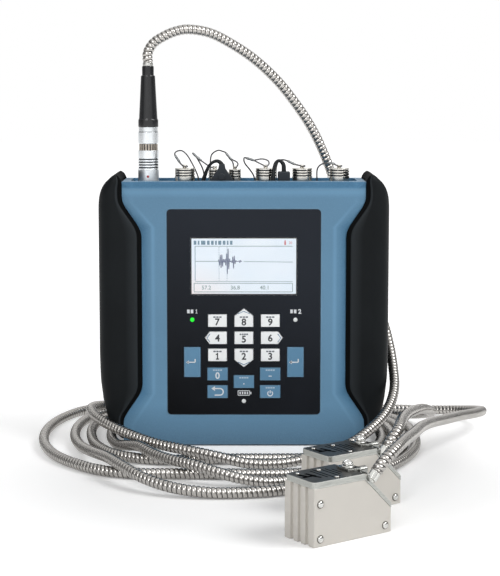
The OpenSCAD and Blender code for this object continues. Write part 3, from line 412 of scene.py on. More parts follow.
def body_finish(name):
    """Blue shells: fine speckled paint skin, with painted shade on slanted faces and at the foot, painted light a
    little above the foot, and painted highlights on the ridges.
    """
    base = colours().body
    material, tree, shader = principled(name, Specular_IOR_Level=0.35)
    skin = grain_on(tree, 1100.0, 14.0)
    # Painted shade and light up the body's height: darkest at the foot, lightest a little above it
    rise = ranged(tree, parts(tree, place_of(tree))["Z"], 0.0, 1.0, 0.0, BODY_TOP)
    ground = mixed(tree, grey_ramp(tree, rise, BODY_SHADE_STEPS), shade(base, 0.5), shade(base, 1.4))
    slanted, ridge = field_shade_and_highlight(tree)
    # Painted shade on the slanted faces and painted highlight on the ridges; specks, mottle and dust are the paint's
    # own
    colour = layered(
        tree, ground, (slanted, mixed(tree, 1.0, ground, BEVEL_SHADE, "MULTIPLY")), (ridge, shade(base, 2.1)),
        (ranged(tree, skin["Height"], 0.0, 0.16, 0.45, 1.15), shade(base, 1.75)),
        (ranged(tree, skin["Mottle"], 0.0, 0.1, 0.35, 0.65), shade(base, 0.6)),
        (wear_and_highlight_on(tree, 0.3, 1.6 * MM), tone(150, 180, 202)), (dust_on(tree, 0.1), tone(190, 196, 200)))
    connect(tree, shader, colour, ranged(tree, skin["Mottle"], 0.46, 0.56, 0.3, 0.7), skin["Height"], 0.03)
    return material


def panel_finish(name):
    """Front panel: satin printed film with a painted reflection that makes it lighter towards the top and to the right.
    """
    base = colours().panel
    material, tree, shader = principled(name, Specular_IOR_Level=0.09)
    skin = grain_on(tree, 2600.0, 10.0)
    place = parts(tree, place_of(tree))
    # Painted reflection: the film gets lighter towards the right and towards the top
    aside = ranged(tree, place["X"], 0.0, 1.0, -55 * MM, 45 * MM)
    rise = ranged(tree, place["Z"], 0.0, 1.0, 30 * MM, 190 * MM)
    colour = layered(
        tree, shade(base, 0.1), (calculated(tree, "MULTIPLY_ADD", aside, 0.35, rise), shade(base, 1.05)),
        (ranged(tree, skin["Mottle"], 0.0, 0.18, 0.35, 0.7), shade(base, 1.2)),
        (wear_and_highlight_on(tree, 0.2), tone(120, 126, 134)))
    connect(tree, shader, colour, ranged(tree, skin["Mottle"], 0.38, 0.5, 0.3, 0.7), skin["Height"], 0.008)
    return material


def grip_finish(name):
    """Black rubber grips: fine grain, a matt rim beside the blue shells darkened by painted shade, and a painted
    highlight on the crest.
    """
    base = colours().grip
    material, tree, shader = principled(name, Specular_IOR_Level=0.09)
    skin = grain_on(tree, 1700.0, 18.0)
    rim = add_node(tree, "Attribute", attribute_name="rim").outputs["Fac"]
    # The rim attribute's 1 gives the rim its painted shade, its -1 gives the crest its painted highlight
    colour = layered(
        tree, shade(base, 0.8), (ranged(tree, skin["Mottle"], 0.0, 1.0, 0.3, 0.7), shade(base, 1.25)),
        (ranged(tree, rim, 0.0, 1.0), shade(base, 0.25)),
        (ranged(tree, rim, 0.8, 0.0, -1.0, 0.0), tone(46, 50, 53)), (dust_on(tree, 0.03), tone(150, 150, 150)))
    connect(tree, shader, colour, ranged(tree, rim, 0.5, 0.85), skin["Height"], 0.03)
    return material


def conduit_finish(name):
    """Interlocked steel strip: bright ribs, grooves darkened by painted shade, fine scratches along the strip."""
    base = colours().steel
    material, tree, shader = principled(name, Metallic=1.0)
    groove = add_node(tree, "Attribute", attribute_name="groove").outputs["Fac"]
    lines = lines_on(tree, (900, 900, 900))
    # The grooves' near-black colour is painted shade
    colour = layered(
        tree, shade(base, 0.88), (lines["Streak"], shade(base, 1.12)),
        (ranged(tree, groove, 0.0, 1.0, 0.3, 0.75), tone(26, 25, 24)),
        (dust_on(tree, 0.04, 300.0), tone(150, 148, 142)))
    connect(tree, shader, colour, ranged(tree, groove, 0.24, 0.6, 0.2, 0.8), lines["Height"], 0.012)
    return material


def cover_finish(name):
    """Transducer covers: brushed top made dark by a painted reflection, lighter sheared edges that are partly worn and
    partly a painted highlight.
    """
    material, tree, shader = principled(name, Metallic=1.0)
    lines = lines_on(tree, (120, 3000, 900), (0, 0, -HEADING))
    top = mixed(tree, lines["Streak"], tone(84, 84, 82), tone(122, 121, 118))
    # Painted dark reflection on the faces that look up
    dark_top_reflection = ranged(tree, normal_parts(tree)["Z"], 0.0, 1.0, 0.75, 0.95)
    colour = layered(tree, tone(158, 160, 156), (lines["Streak"], tone(186, 187, 182)), (dark_top_reflection, top),
                     (wear_and_highlight_on(tree, 0.8), tone(225, 226, 222)))
    connect(tree, shader, colour, ranged(tree, lines["Streak"], 0.3, 0.46), lines["Height"], 0.01)
    return material


def glass_finish(name):
    """Clear window with faint smears."""
    material, tree, shader = principled(
        name, Transmission_Weight=1.0, IOR=1.46, Base_Color=(0.97, 0.985, 1.0, 1))
    smears = ranged(tree, grain_on(tree, 400.0, 60.0)["Mottle"], 0.0, 0.06, 0.45, 0.8)
    tree.links.new(smears, shader.inputs["Roughness"])
    return material


def screen_finish(name):
    """Backlit screen: pale and even, a little warmer at its lower left corner."""
    material, tree, shader = principled(name, Roughness=0.4, Emission_Strength=0.86)
    place = parts(tree, place_of(tree))
    corner = calculated(tree, "MULTIPLY", ranged(tree, place["X"], 1.0, 0.0, -41 * MM, 0.0),
                        ranged(tree, place["Z"], 1.0, 0.0, 119 * MM, 145 * MM))
    slow = ranged(tree, grain_on(tree, 3000.0, 30.0)["Mottle"], 0.0, 1.0, 0.3, 0.7)
    light_up(tree, shader, layered(
        tree, tone(219, 230, 240), (slow, tone(228, 235, 242)), (corner, tone(236, 226, 224))))
    return material


def lamp_finish(name, base, glow):
    """Small lens over a lamp, glowing with a slight mottle; on the unlit lamps the faint glow is painted light."""
    material, tree, shader = principled(name, Roughness=0.25, Emission_Strength=glow)
    ground = mixed(tree, grain_on(tree, 900.0, 400.0)["Mottle"], shade(base, 0.85), base)
    tree.links.new(ground, shader.inputs["Emission Color"])
    connect(tree, shader, ground)
    return material


def ink_finish(name, base, glow=0.0, rough=0.5, specular=0.5):
    """Printed ink with slightly uneven coverage."""
    material, tree, shader = principled(name, Emission_Strength=glow, Specular_IOR_Level=specular)
    mottle = grain_on(tree, 4000.0, 800.0)["Mottle"]
    ground = mixed(tree, mottle, shade(base, 0.9), shade(base, 1.08))
    connect(tree, shader, ground, ranged(tree, mottle, rough - 0.05, rough + 0.05))
    if glow:
        light_up(tree, shader, ground)
    return material


def board_finish(name):
    """Circuit board: green resist with copper lines under it and dark chips behind."""
    material, tree, shader = principled(name, Roughness=0.4)
    place = place_of(tree)
    lines = add_node(tree, "TexBrick", {
        "Vector": place, "Scale": 60.0, "Mortar Size": 0.04, "Color1": (*tone(24, 70, 42), 1),
        "Color2": (*tone(30, 84, 50), 1), "Mortar": (*tone(70, 120, 64), 1)}, offset=0.37)
    chips = ranged(tree, parts(tree, place)["Y"], 0.0, 1.0, -17.5 * MM, -17.2 * MM)
    colour = mixed(tree, chips, lines.outputs["Color"], tone(26, 26, 28))
    connect(tree, shader, colour, None, grain_on(tree, 1800.0)["Height"], 0.01)
    return material


def deck_finish(name):
    """Connector deck: the body's paint, a little deeper."""
    return plastic(name, shade(colours().body, 0.85), grain=1100.0)


# Finishes with a maker of their own
OWN_FINISHES = {
    "blue_skin": body_finish, "deck_skin": deck_finish, "grip_skin": grip_finish, "panel_film": panel_finish,
    "window": glass_finish, "screen": screen_finish, "board": board_finish, "conduit_steel": conduit_finish,
    "cover_steel": cover_finish,
}
# Streaks along turned pieces, and fine ones without a direction
TURNED, SATIN, FINE = (200, 200, 7000), (300, 300, 6000), (900, 900, 900)
# The others: maker, base colour or the name of a colour that a user may change, and settings
FINISHES = {
    "seal": (plastic, (22, 24, 26), dict(grain=2400, rough=0.62, wear=0.1)),
    "pack_wrap": (plastic, (52, 56, 60), dict(grain=900, rough=0.4)),
    "white_key_skin": (plastic, "white_key", dict(grain=2400, depth=0.01, rough=0.42, mottle=0.03, wear=0.1, dust=0)),
    "blue_key_skin": (plastic, "blue_key", dict(grain=2400, depth=0.01, rough=0.42, mottle=0.05, wear=0.35, dust=0)),
    "cover_rubber": (plastic, (44, 48, 53), dict(
        depth=0.03, rough=0.55, mottle=0.1, wear=0.05, dust=0.04, specular=0.25)),
    "strap_rubber": (plastic, (21, 24, 27), dict(
        depth=0.03, rough=0.48, mottle=0.12, wear=0, dust=0.02, specular=0.25)),
    "boot_rubber": (plastic, (13, 15, 19), dict(
        grain=1300, depth=0.006, rough=0.2, mottle=0.14, wear=0.03, dust=0, specular=0.65)),
    "splitter_skin": (plastic, (40, 42, 45), dict(grain=1000, depth=0.04)),
    "block_skin": (plastic, "block", dict(grain=1400, depth=0.015, mottle=0.025, dust=0, specular=0.35)),
    "nickel": (metal, (214, 211, 204), dict(rough=0.18, stretch=SATIN, depth=0.001, streaks=0.07, wear=0.1)),
    "dark_nickel": (metal, (120, 118, 112), dict(rough=0.3, stretch=(900, 900, 4000))),
    "plug_chrome": (metal, (232, 236, 239), dict(rough=0.22, stretch=TURNED, depth=0.0004, streaks=0.03, wear=0)),
    "plug_satin": (metal, (222, 226, 229), dict(rough=0.42, stretch=TURNED, depth=0.0004, streaks=0.03, wear=0)),
    "ring_bronze": (metal, (168, 160, 150), dict(rough=0.3, stretch=FINE, depth=0.002, wear=0)),
    # Dark bands laid in grooves and behind slots: painted shade
    "groove_dark": (metal, (50, 52, 56), dict(rough=0.45, stretch=SATIN, streaks=0.2, wear=0)),
    "wire": (metal, (92, 92, 94), dict(rough=0.34, stretch=(1500, 1500, 1500), depth=0.03, streaks=0.25, wear=0)),
    "crimp": (metal, (128, 130, 131), dict(rough=0.36, stretch=(1200, 1200, 1200), depth=0.02, streaks=0.18, wear=0)),
    "fitting_steel": (metal, (214, 214, 210), dict(rough=0.2, stretch=(1500, 1500, 1500))),
    "clamp_steel": (metal, (150, 151, 148), dict(
        rough=0.24, stretch=(200, 2600, 900), turn=(0, 0, -HEADING), wear=0.05)),
    "screw_chrome": (metal, (205, 205, 202), dict(rough=0.16, stretch=(1600, 1600, 1600), wear=0)),
    # Dark rims round the rivets: painted shade
    "rim_dark": (metal, (112, 110, 104), dict(rough=0.4, stretch=FINE, wear=0)),
    # Dark inside of the screw's slot: painted shade
    "slot_dark": (metal, (34, 34, 34), dict(rough=0.5, stretch=FINE)),
    "lamp_green": (lamp_finish, (20, 214, 40), dict(glow=0.9)),
    # Unlit lamps glow faintly: painted light
    "lamp_off": (lamp_finish, (222, 226, 226), dict(glow=0.2)),
    "red_dot": (ink_finish, (176, 62, 62), {}),
    "white_ink": (ink_finish, (222, 226, 230), {}),
    "black_ink": (ink_finish, (48, 50, 54), {}),
    "blue_ink": (ink_finish, (86, 126, 158), {}),
    "grey_ink": (ink_finish, (116, 122, 130), {}),
    "pale_ink": (ink_finish, (176, 196, 212), {}),
    "screen_blue": (ink_finish, (52, 72, 122), dict(glow=0.6)),
    "screen_teal": (ink_finish, (70, 122, 148), dict(glow=0.7)),
    "screen_grey": (ink_finish, (118, 146, 152), dict(glow=0.75)),
    "screen_red": (ink_finish, (196, 84, 92), dict(glow=0.8)),
    "mark_dark": (ink_finish, (20, 22, 24), dict(rough=0.85, specular=0)),
}


def finish(name):
    """The material of that name, made when it is first asked for."""
    label = f"{name}_finish"
    made = bpy.data.materials.get(label)
    if made:
        return made
    if name in OWN_FINISHES:
        return OWN_FINISHES[name](label)
    maker, base, settings = FINISHES[name]
    return maker(label, getattr(colours(), base) if isinstance(base, str) else tone(*base), **settings)


# Meshes

def linked(name, mesh, finish_name):
    """A piece that shows the mesh in its finish."""
    mesh.materials.clear()
    mesh.materials.append(finish(finish_name))
    piece = bpy.data.objects.new(name, mesh)
    bpy.context.scene.collection.objects.link(piece)
    return piece


def mesh_object(name, vertices, faces, finish_name, smooth=True, share=None, weld=0.001, mend=None):
    """A piece from points and faces; share is a value for each point, as (name, values)."""
    mesh = bpy.data.meshes.new(name)
    mesh.from_pydata([tuple(v) for v in vertices], [], [tuple(f) for f in faces])
    mesh.validate()
    if share:
        mesh.attributes.new(share[0], "FLOAT", "POINT").data.foreach_set("value", share[1])
    built = bmesh.new()
    built.from_mesh(mesh)
    if weld:
        bmesh.ops.remove_doubles(built, verts=built.verts, dist=weld * MM)
    if mend:
        mend(built, weld * MM)
    bmesh.ops.recalc_face_normals(built, faces=built.faces)
    built.to_mesh(mesh)
    built.free()
    mesh.polygons.foreach_set("use_smooth", [smooth] * len(mesh.polygons))
    return linked(name, mesh, finish_name)


def loft(name, rings, finish_name, smooth=True, share=None):
    """A skin led over rings with the same number of points, and closed at both ends."""
    width = len(rings[0])
    last = width * (len(rings) - 1)
    faces = [(row + k, row + (k + 1) % width, row + (k + 1) % width + width, row + k + width)
             for row in range(0, last, width) for k in range(width)]
    faces += [tuple(range(width))[::-1], tuple(range(last, last + width))]
    return mesh_object(name, [point for ring in rings for point in ring], faces, finish_name, smooth, share)


def round_edges(piece, radius, segments=2, angle=28.0):
    """Rounds the sharp edges of a piece, and keeps its flat faces flat."""
    bevel = piece.modifiers.new("Rounded edges", "BEVEL")
    bevel.width, bevel.segments = radius * MM, segments
    bevel.limit_method, bevel.angle_limit = "ANGLE", math.radians(angle)
    bevel.use_clamp_overlap, bevel.harden_normals = True, False
    piece.modifiers.new("Flat face normals", "WEIGHTED_NORMAL").keep_sharp = True
    return piece


def dress(node, finish_name, radius, segments=2):
    """Gives a carried-over solid its finish and rounds its edges."""
    piece = frame["nodes"][node]
    piece.data.materials.clear()
    piece.data.materials.append(finish(finish_name))
    piece.modifiers.new("Joined faces", "WELD").merge_threshold = 0.04 * MM
    flat = piece.modifiers.new("Whole faces", "DECIMATE")
    flat.decimate_type, flat.angle_limit = "DISSOLVE", math.radians(0.6)
    round_edges(piece, radius, segments)
    piece.data.polygons.foreach_set("use_smooth", [True] * len(piece.data.polygons))


def turned(name, outline, centre, finish_name, axis=UP, sides=40):
    """A turned piece: outline as (radius, height) in millimetres along an axis from a centre."""
    spin = axis.to_track_quat("Z", "Y").to_matrix()
    spots = [wave(360 * k / sides) for k in range(sides)]
    return loft(name, [[centre + spin @ mm(radius * x, radius * y, height) for x, y in spots]
                       for radius, height in outline], finish_name)


def domed(radius, rise, base, *angles):
    """Outline of a dome over a base height, at angles above its rim."""
    return [(radius * wave(angle)[0], base + rise * wave(angle)[1]) for angle in angles]


def evaluated_mesh(piece):
    bpy.context.view_layer.update()
    return bpy.data.meshes.new_from_object(piece.evaluated_get(bpy.context.evaluated_depsgraph_get()))


def cut(piece, cutter):
    """Takes the cutter's volume out of a piece."""
    step = piece.modifiers.new("Cut", "BOOLEAN")
    step.operation, step.solver, step.object = "DIFFERENCE", "EXACT", cutter
    mesh = evaluated_mesh(piece)
    piece.modifiers.remove(step)
    piece.data = mesh
    bpy.data.objects.remove(cutter)


def joined(name, pieces):
    """Several meshes as one piece, with their finishes kept."""
    bpy.ops.object.select_all(action="DESELECT")
    for piece in pieces:
        piece.select_set(True)
    bpy.context.view_layer.objects.active = pieces[0]
    if len(pieces) > 1:
        bpy.ops.object.join()
    pieces[0].name = pieces[0].data.name = name
    return pieces[0]


def put(piece, body, slot, *nodes):
    """Says which body a piece follows and hides the nodes it stands for; slot, the material it shows, is not used."""
    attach(piece, body)
    for node in nodes:
        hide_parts(node)


# Curves and tubes

def between(a, b, c, d, t):
    """Point at share t between b and c on a smooth curve through a, b, c and d."""
    return 0.5 * (2 * b + (c - a) * t + (2 * a - 5 * b + 4 * c - d) * t * t
                  + (3 * b - a - 3 * c + d) * t * t * t)


def smooth_line(points, steps=6):
    """A smooth line through points given in millimetres."""
    points = [mm(*p) for p in points]
    padded = [2 * points[0] - points[1], *points, 2 * points[-1] - points[-2]]
    return [between(*padded[i:i + 4], k / steps)
            for i in range(len(points) - 1) for k in range(steps)] + [points[-1]]


def run_lengths(line):
    runs = [0.0]
    for a, b in zip(line, line[1:]):
        runs.append(runs[-1] + (b - a).length)
    return runs


def carried_frames(line):
    """Two directions square to the line at each point, carried along it without twist."""
    headings = [(line[min(i + 1, len(line) - 1)] - line[max(i - 1, 0)]).normalized() for i in range(len(line))]
    side = -FRONT if abs(headings[0].z) > 0.7 else UP
    sides = []
    for heading in headings:
        side = (side - side.dot(heading) * heading).normalized()
        sides.append(side)
    return headings, sides


def at_runs(runs, rows, places):
    table = np.array([tuple(row) for row in rows])
    return np.column_stack([np.interp(places, runs, table[:, axis]) for axis in range(3)])


def round_tube(name, line, radii, finish_name, sides=12):
    """A smooth tube along a line, with a radius for each point, and closed ends."""
    spots, rings = [wave(360 * k / sides) for k in range(sides)], []
    for point, heading, side, radius in zip(line, *carried_frames(line), radii):
        other = heading.cross(side)
        rings.append([point + radius * (x * side + y * other) for x, y in spots])
    return loft(name, rings, finish_name)


def wire_tube(name, points, diameter, finish_name, sides=8):
    line = smooth_line(points)
    return round_tube(name, line, [diameter / 2] * len(line), finish_name, sides)


def closed_ends(built, reach):
    """Takes away a tube's collapsed faces and loose points, and closes its ends."""
    bmesh.ops.dissolve_degenerate(built, edges=built.edges, dist=reach)
    bmesh.ops.delete(built, geom=[v for v in built.verts if not v.link_faces], context="VERTS")
    bmesh.ops.holes_fill(built, edges=[e for e in built.edges if e.is_boundary], sides=0)


def unit(rows):
    return rows / np.linalg.norm(rows, axis=1)[:, None]


# Share of a pitch, and share of the groove's depth, at the points of one rib
RIB_PROFILE = ((0.0, 1.0), (0.14, 0.12), (0.46, 0.0), (0.80, 0.16))


def wound_tube(name, line, diameter, pitch, depth, sides=16):
    """A conduit wound from steel strip: one rib's profile led round and along the line."""
    runs = np.array(run_lengths(line))
    length = runs[-1]
    headings, across = carried_frames(line)
    turn = np.arange(-sides, int(math.ceil(length / pitch) + 1) * sides)
    angle = (2 * math.pi * turn / sides)[:, None]
    vertices, grooves = [], []
    for share, sunk in RIB_PROFILE:
        place = np.clip((turn / sides + share) * pitch, 0, length)
        side = unit(at_runs(runs, across, place))
        other = unit(np.cross(at_runs(runs, headings, place), side))
        radius = diameter / 2 - np.where((place > 0) & (place < length), sunk * depth, depth)
        vertices.append(at_runs(runs, line, place) + radius[:, None] * (np.cos(angle) * side + np.sin(angle) * other))
        grooves.append(np.full(len(turn), sunk))
    count, rows = len(turn), len(RIB_PROFILE)
    faces = []
    for t in range(count - 1):
        for a in range(t, t + (rows - 1) * count, count):
            faces.append((a, a + 1, a + 1 + count, a + count))
        if t + sides + 1 < count:
            a, b = (rows - 1) * count + t, t + sides
            faces.append((a, a + 1, b + 1, b))
    # The groove shares carry the painted shade in the grooves, and their roughness
    shares = np.clip(np.concatenate(grooves) * 1.2 - 0.1, 0, 1).astype(np.float32)
    return mesh_object(name, np.concatenate(vertices).tolist(), faces, "conduit_steel",
                       share=("groove", shares), weld=0.002, mend=closed_ends)


# Stage and camera

CAMERA_PLACE, CAMERA_PITCH, CAMERA_LENS = (0.0017, -1.202, 0.2827), 84.0, 95.632
CAMERA_SHIFT, CAMERA_CLIP = (0.00687, -0.078), (0.05, 50.0)
FLOOR_WHITE, FLOOR_REACH = 0.88, 6.0
# Middle and half widths of the floor's least glowing patch, under the object
GLOW_MIDDLE, GLOW_REACH = (0.03, -0.14, 0.0), (0.16, 0.13, 1.0)
GLOW_STEPS, GLOW_SPREAD = ((0.0, 0.10), (0.11, 0.12), (0.24, 0.5), (1.0, 0.85)), 8.0
# Brightness round the object for mirrored rays: share of the way round from the front, strength
MIRROR_STEPS = ((0.0, 1.0), (0.24, 0.92), (0.36, 0.26), (0.76, 0.3), (0.92, 1.0))
WORLD_LIGHT = 0.35
# Lamps: place, target, width, height and power
LAMPS = {
    "key_lamp": ((1.2, -0.5, 1.3), (0.05, -0.1, 0.05), 0.9, 0.9, 18),
    "front_lamp": ((-0.6, -1.7, 1.2), (0.0, 0.0, 0.1), 1.0, 0.8, 14),
}


def seen_rays(tree):
    """1 for rays from the camera or through glass, 1 for those and mirrored ones, 1 for mirrored ones."""
    path = add_node(tree, "LightPath").outputs
    glossy = path["Is Glossy Ray"]
    shown = calculated(tree, "MAXIMUM", path["Is Camera Ray"], path["Is Transmission Ray"])
    return shown, calculated(tree, "MAXIMUM", shown, glossy), glossy


def empty_tree(owner):
    owner.use_nodes = True
    owner.node_tree.nodes.clear()
    return owner.node_tree


def floor_finish(name):
    """Pale floor: keeps the object's shadow, and shows as white."""
    material = bpy.data.materials.new(name)
    tree = empty_tree(material)
    mottle = grain_on(tree, 300.0, 3.0)["Mottle"]
    matte = add_node(tree, "BsdfDiffuse", {
        "Color": mixed(tree, mottle, (FLOOR_WHITE,) * 3, (FLOOR_WHITE * 1.01,) * 3)})
    away = moved(tree, "DIVIDE", moved(tree, "SUBTRACT", place_of(tree), GLOW_MIDDLE), GLOW_REACH)
    far = add_node(tree, "VectorMath", {0: away}, operation="LENGTH").outputs["Value"]
    steps = grey_ramp(tree, ranged(tree, far, 0.0, 1.0, 0.0, GLOW_SPREAD), GLOW_STEPS)
    glow = add_node(tree, "Emission", {
        "Color": WHITE, "Strength": calculated(tree, "MULTIPLY", seen_rays(tree)[1], steps)})
    both = add_node(tree, "AddShader", {0: matte.outputs[0], 1: glow.outputs[0]})
    add_node(tree, "OutputMaterial", {"Surface": both.outputs[0]})
    return material


OWN_FINISHES["floor_paper"] = floor_finish


def studio_world():
    """White background; mirrored rays see it with darker sides, and the object gets a plain level."""
    world = bpy.data.worlds.new("studio")
    tree = empty_tree(world)
    way = parts(tree, add_node(tree, "TexCoord").outputs["Generated"])
    turn = calculated(tree, "ARCTAN2", calculated(tree, "ABSOLUTE", way["X"]),
                      calculated(tree, "MULTIPLY", way["Y"], -1.0))
    steps = grey_ramp(tree, ranged(tree, turn, 0.0, 1.0, 0.0, math.pi), MIRROR_STEPS)
    mirrored = calculated(tree, "MAXIMUM", steps, ranged(tree, way["Z"], 0.0, 1.0, 0.45, 0.75))
    shown, _, glossy = seen_rays(tree)
    strength = add_node(tree, "Mix", {
        0: glossy, 2: ranged(tree, shown, WORLD_LIGHT, 1.0), 3: mirrored}, data_type="FLOAT")
    sky = add_node(tree, "Background", {"Color": WHITE, "Strength": strength.outputs[0]})
    add_node(tree, "OutputWorld", {"Surface": sky.outputs[0]})
    return world


def placed(name, data, place, turn):
    thing = bpy.data.objects.new(name, data)
    thing.location, thing.rotation_euler = place, turn
    bpy.context.scene.collection.objects.link(thing)
    return thing


class FLOWMETER_OT_stage(bpy.types.Operator):
    """Lay the floor, the world, the lamps and the camera"""
    bl_idname = "flow_meter.stage"
    bl_label = "Stage"

    def execute(self, context):
        scene = context.scene
        scene.view_settings.view_transform = "Standard"
        data = bpy.data.cameras.new("photo_camera")
        data.lens, data.sensor_width = CAMERA_LENS, 36.0
        data.shift_x, data.shift_y = CAMERA_SHIFT
        data.clip_start, data.clip_end = CAMERA_CLIP
        scene.camera = placed("photo_camera", data, CAMERA_PLACE, (math.radians(CAMERA_PITCH), 0, 0))
        corners = [(x * FLOOR_REACH, y * FLOOR_REACH, 0) for x, y in ((-1, -1), (1, -1), (1, 1), (-1, 1))]
        mesh_object("floor", corners, [(0, 1, 2, 3)], "floor_paper", smooth=False)
        scene.world = studio_world()
        for name, (place, target, width, height, power) in LAMPS.items():
            data = bpy.data.lights.new(name, "AREA")
            data.shape, data.size, data.size_y, data.energy = "RECTANGLE", width, height, power
            placed(name, data, place, (Vector(target) - Vector(place)).to_track_quat("-Z", "Y").to_euler())
        return {"FINISHED"}


# Conduits

# Height of a conduit's middle where it lies on the table, for the points with two parts
LYING = 4
TRUNK_ROUTE = [
    (-74.9, 0, 298), (-74.9, 0, 305.5), (-70.5, 1, 313), (-63, 2, 318), (-54, 4, 322), (-43, 6, 323.8),
    (-27, 9, 321.2), (-11, 13, 313.5), (8, 18, 301), (27, 24, 283.5), (43, 30, 263.5), (54.5, 34, 246),
    (63, 37, 229), (69.5, 39, 213), (75, 40, 197), (82, 42, 176), (91, 43, 151), (100, 42, 126), (108.5, 39, 104),
    (114.5, 31, 86), (118, 17, 69), (119, -1, 55.5), (118, -21, 45), (113, -42, 36.5), (105, -62, 30),
    (94, -80, 24.5), (80, -95, 18.5), (62, -104, 13.5), (44, -108, 9), (24, -109, 6), (2, -107, 6), (-22, -101, 10),
    (-46, -92, 12.8), (-66, -79, 14), (-86, -62, 16.8), (-103, -45, 20), (-115, -27, 22.5), (-121, -6, 22.5),
    (-123, 15, 21), (-120, 34, 18.5), (-109, 48, 16), (-93, 53, 13.9), (-78, 50, 9.5), (-65, 46, 7), (-55, 46, 7),
]
FRONT_ROUTE = [
    (-20, 50.5, 7), (-11, 50.5, 7), (4, 53, 5.5), (25, 53), (55, 53), (83, 51.7), (105.8, 41.6), (115, 18.5),
    (117, -12), (115, -38), (108, -66, 7), (95, -95, 12.8), (74, -122, 12.8), (50, -142, 7), (25, -152),
    (2, -152, 5.5), (-18, -147.5, 9.5), (-36, -138, 12.8), (-52, -124, 12.8), (-66, -106, 12.8), (-77, -87, 13.6),
    (-88, -66, 9.3), (-97, -45, 5), (-103.5, -22), (-106, 4), (-105, 28), (-95, 49), (-75, 61), (-50, 62.5),
    (-15, 62.5), (25, 62), (60, 62), (88, 60.5), (112, 48.5), (123.5, 24.5), (125.5, -4), (124.5, -34), (118, -64),
    (105, -91), (84, -112), (58, -126), (28, -131), (0, -131), (-28, -130), (-56, -130), (-80, -129), (-102, -121),
    (-122, -103), (-140, -78), (-152, -48), (-158, -15), (-158, 18), (-152, 50), (-139, 79), (-118, 98), (-92, 106),
    (-60, 105), (-25, 100), (15, 96), (55, 93), (95, 90), (130, 88), (158, 83, 4.5), (180, 71, 7), (193, 52, 11),
    (195, 30, 15), (186, 6, 18.5), (170, -22, 22.5), (154, -55, 27), (139.5, -90, 32.5), (127.5, -128, 38),
    (117.5, -168, 42.5), (108.5, -200, 45.7), (101.5, -223, 46.8), (95.5, -236, 45.2), (89.8, -242.5, 41.4),
    (84.6, -246.2, 35.4),
]
REAR_ROUTE = [
    (-20, 41.5, 7), (-11, 41.5, 7), (4, 43, 5.5), (25, 44), (50, 44.5), (75, 43.5), (97, 35.5), (106.5, 16),
    (108.5, -6), (106.5, -30), (99, -54), (84, -73), (62, -83), (34, -86), (6, -86), (-22, -87), (-50, -89.5),
    (-76, -86), (-98, -71), (-113, -45), (-120, -16), (-122.5, 12), (-120, 38), (-109, 59), (-88, 70), (-60, 72),
    (-20, 71.5), (25, 71), (65, 71), (96, 69), (119.5, 55.5), (131.5, 29), (134.5, 0), (134, -32), (128, -64),
    (115, -95), (97, -122), (73, -146), (46, -165), (16, -178), (-16, -182), (-45, -178, 6), (-68, -165, 9.5),
    (-85, -144, 12.8), (-98, -118, 12.8), (-112, -86, 9), (-125, -50, 5), (-133.5, -14), (-135, 22), (-129, 54),
    (-115, 78), (-92, 88), (-62, 89), (-25, 86), (15, 83), (55, 81), (90, 79), (118, 72), (139, 57, 6.5),
    (150, 35, 12), (151, 10, 18.5), (145, -16, 26), (136.5, -45, 33), (126.5, -78, 38.5), (118, -111, 43),
    (112.3, -139, 46), (109, -158, 46.8), (106, -170, 45), (102.2, -176.7, 41.4), (97.3, -180.4, 35.4),
]
CONDUIT_FLOOR_GAP = 0.1 * MM


class FLOWMETER_OT_conduits(bpy.types.Operator):
    """Wind the three steel conduits along their routes"""
    bl_idname = "flow_meter.conduits"
    bl_label = "Steel conduits"

    def execute(self, context):
        wanted, nodes = sizes(), frame["nodes"]
        held = [nodes["conduit_fittings"], nodes["conduit_splitter"]]
        for name, route, far_end, on_it in (
                ("trunk", TRUNK_ROUTE, "fitting", held), ("front", FRONT_ROUTE, "object", []),
                ("rear", REAR_ROUTE, "object", [])):
            line = self.line(route)
            hose = wound_tube(f"{name}_hose", line, wanted.conduit_d, wanted.rib_pitch, wanted.rib_depth)
            put(hose, "root", "conduit_steel", f"{name}_conduit")
        return {"FINISHED"}

    def line(self, route):
        """The conduit's smooth centreline, kept off the floor by its own radius."""
        lowest = sizes().conduit_d / 2 + CONDUIT_FLOOR_GAP
        line = smooth_line([(*point, LYING)[:3] for point in route], 8)
        for point in line:
            point.z = max(point.z, lowest)
        return line


# Main unit

# Height above the table and half width of a grip's inner edge, as on the shells
GRIP_INNER = (
    (4.9, 94.0), (21.0, 94.0), (25.5, 91.4), (41.0, 80.9), (46.0, 79.0), (166.5, 79.0), (171.5, 80.9),
    (188.5, 92.6), (193.0, 94.0), (208.2, 94.0), (210.2, 95.8), (211.4, 97.3), (212.2, 98.6))
GRIP_OUTER = (
    (4.9, 94.4), (7.5, 98.0), (12.0, 102.4), (18.0, 105.8), (33.0, 110.2), (51.0, 112.4), (70.0, 113.0),
    (188.0, 113.0), (193.5, 112.6), (198.0, 111.6), (202.4, 109.8), (206.4, 107.0), (209.6, 103.6),
    (211.5, 100.8), (212.2, 98.9))
GRIP_CORE = (
    (4.9, 92.0), (18.5, 99.3), (51.0, 105.5), (70.0, 106.3), (187.0, 106.3), (198.0, 104.4), (206.5, 94.1),
    (214.0, 94.1))
GRIP_LOW, GRIP_HIGH = GRIP_OUTER[0][0], GRIP_OUTER[-1][0]
# Distance of the sections, the extra ones at both ends, and the roundings
GRIP_ROW, GRIP_STARTS, GRIP_ENDS = 2.0, (0.4, 1.0), (1.2, 0.6, 0.25)
GRIP_CORNER, GRIP_EDGE = 13.0, 5.0
GRIP_HALF_D, CORE_HALF_D = 29.5, 26.5
# Sink of the rim, and the points of each section that carry the rim's painted shade and the crest's painted highlight
RIM_DROP, RIM_POINTS, CREST_POINTS = 1.5, 4, 2


def at_height(table, z):
    return float(np.interp(z, *zip(*table)))


